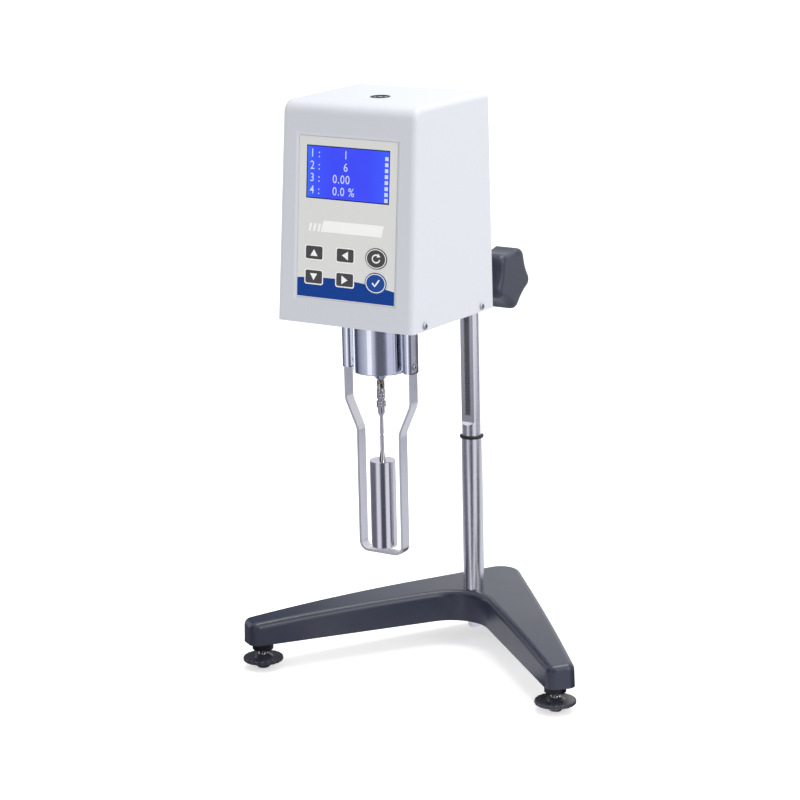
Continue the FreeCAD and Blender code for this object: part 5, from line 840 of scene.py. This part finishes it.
level = add(tree, "ShaderNodeMapRange", {"Value": seen_ray(tree), "To Min": 0.2, "To Max": 0.55})
plain = add(tree, "ShaderNodeEmission", {"Color": (1, 1, 1, 1), "Strength": level.outputs["Result"]})
both = add(tree, "ShaderNodeAddShader", {0: shader.outputs["BSDF"], 1: plain.outputs["Emission"]})
tree.links.new(both.outputs["Shader"], tree.nodes["Material Output"].inputs["Surface"])

world = bpy.data.worlds.new("white_surround")
bpy.context.scene.world = world
world.use_nodes = True
tree = world.node_tree
level = add(tree, "ShaderNodeMapRange", {"Value": seen_ray(tree), "To Min": 0.6, "To Max": 1.0})
tree.links.new(level.outputs["Result"], tree.nodes["Background"].inputs["Strength"])
tree.nodes["Background"].inputs["Color"].default_value = (1, 1, 1, 1)


def lamp(name, spot, aim, size, power):
    """Square soft lamp at a point, turned to face another."""
    light = bpy.data.lights.new(name, "AREA")
    light.size = size
    light.energy = power
    holder = placed(name, light)
    holder.location = spot
    holder.rotation_euler = (Vector(aim) - Vector(spot)).to_track_quat("-Z", "Y").to_euler()


lamp("soft_key", (1.9, -0.5, 1.2), (0, 0, 0.25), 1.0, 11)
lamp("soft_top", (0.2, 0.3, 2.2), (0, 0, 0.3), 1.4, 32)


def grey_fan(name, start, end, grey, path):
    """Card that only reflections see: a path of (radius, height) swept about the spindle's axis.

    The sweep runs from one azimuth to another, in degrees.
    """
    looks = {"Base Color": colour("#000000"), "Emission Color": colour(grey),
             "Emission Strength": 1.0, "Specular IOR Level": 0.0}
    shade = finish(name, looks)[0]
    shade.cycles.emission_sampling = "NONE"
    angle = np.radians(np.linspace(start, end, 9))
    radius, height = np.asarray(path, float).T[:, :, None]
    x, y = spindle_x + radius * np.sin(angle), spindle_y - radius * np.cos(angle)
    card = surface(name, np.stack(np.broadcast_arrays(x, y, height), axis=-1))
    card.data.materials.append(shade)
    card.visible_camera = False
    card.visible_diffuse = False
    card.visible_transmission = False
    card.visible_shadow = False


# The camera looks down, so upright metal reflects the paper: close by low down, far out higher
# up. Azimuths are in degrees from -Y round towards +X
card_height = floor_height + 0.0002
near = [(0.02, card_height), (0.7, card_height)]
mid = [(0.7, card_height), (0.93, card_height)]
far = [(0.93, card_height), (1.6, card_height)]
standing = [(1.6, card_height), (1.6, 1.5)]
near_cards = ((-180, -118, "#D4D5DC"), (-118, -98, "#B4B5C0"), (-98, -38, "#74717E"),
              (-38, -28, "#A4A2AE"), (-28, 6, "#F0F0F8"), (6, 14, "#9A98A6"), (14, 50, "#54535F"),
              (50, 56, "#A8A8B4"), (56, 96, "#F4F4FC"), (96, 124, "#20202C"), (124, 131, "#9C9CA8"),
              (131, 180, "#E8E9F0"))
mid_cards = ((-118, -66, "#8C8EA0"), (-66, -26, "#7C7E8C"), (-26, 8, "#E0E1EA"), (8, 16, "#A4A7B6"),
             (16, 54, "#74747E"), (54, 66, "#C0C1D4"), (66, 116, "#F0F0F8"), (116, 132, "#8A8C9C"),
             (132, 165, "#B8BAC6"))
far_cards = ((-100, -74, "#52566C"), (-74, -66, "#8F93A6"), (-66, -58, "#A8ABBC"), (-58, -48, "#BCBFCE"),
             (-48, -36, "#D0D2DE"), (-36, -22, "#E2E4EE"), (-2, 6, "#E8E9F2"), (6, 14, "#C8CAD6"),
             (14, 20, "#8C8F9E"), (20, 58, "#74747E"), (58, 64, "#A8AACC"), (64, 90, "#E6E6F6"),
             (90, 94, "#BCBED2"), (94, 122, "#E8E8F4"), (122, 134, "#C0C2D0"), (134, 146, "#74788C"),
             (146, 158, "#3C4054"))
standing_cards = ((-70, -8, "#24252E"), (16, 50, "#3A3B48"), (119, 137, "#3C3F52"),
                  (212, 218, "#E4E6EE"), (218, 250, "#32364A"))
zones = {"near": (near, near_cards), "mid": (mid, mid_cards), "far": (far, far_cards),
         "standing": (standing, standing_cards)}
for zone, (path, cards) in zones.items():
    for number, (start, end, grey) in enumerate(cards):
        grey_fan(f"{zone}_card_{number}", start, end, grey, path)

# Camera: where the photograph was taken from, about 2 m away with a long lens. Its place and
# turn come from fitting the model's edges to the photograph's.
sensor_width = 36
focal_pixels = 2855.9
photo_width = 800
camera = placed("camera", bpy.data.cameras.new("camera"))
bpy.context.scene.camera = camera
camera.data.sensor_width = sensor_width
camera.data.lens = sensor_width * focal_pixels / photo_width
azimuth, pitch, roll = math.radians(33.72), math.radians(-13.8), math.radians(-1.27)
aside, before, camera_height = 1.1260, 1.6625, 0.7115
camera.rotation_euler = (math.pi / 2 + pitch, 0, azimuth)
camera.location = (spindle_x + aside, spindle_y - before, camera_height)
camera.rotation_euler.rotate_axis("Z", roll)
camera.data.clip_end = 50
bpy.context.scene.view_settings.view_transform = "Standard"
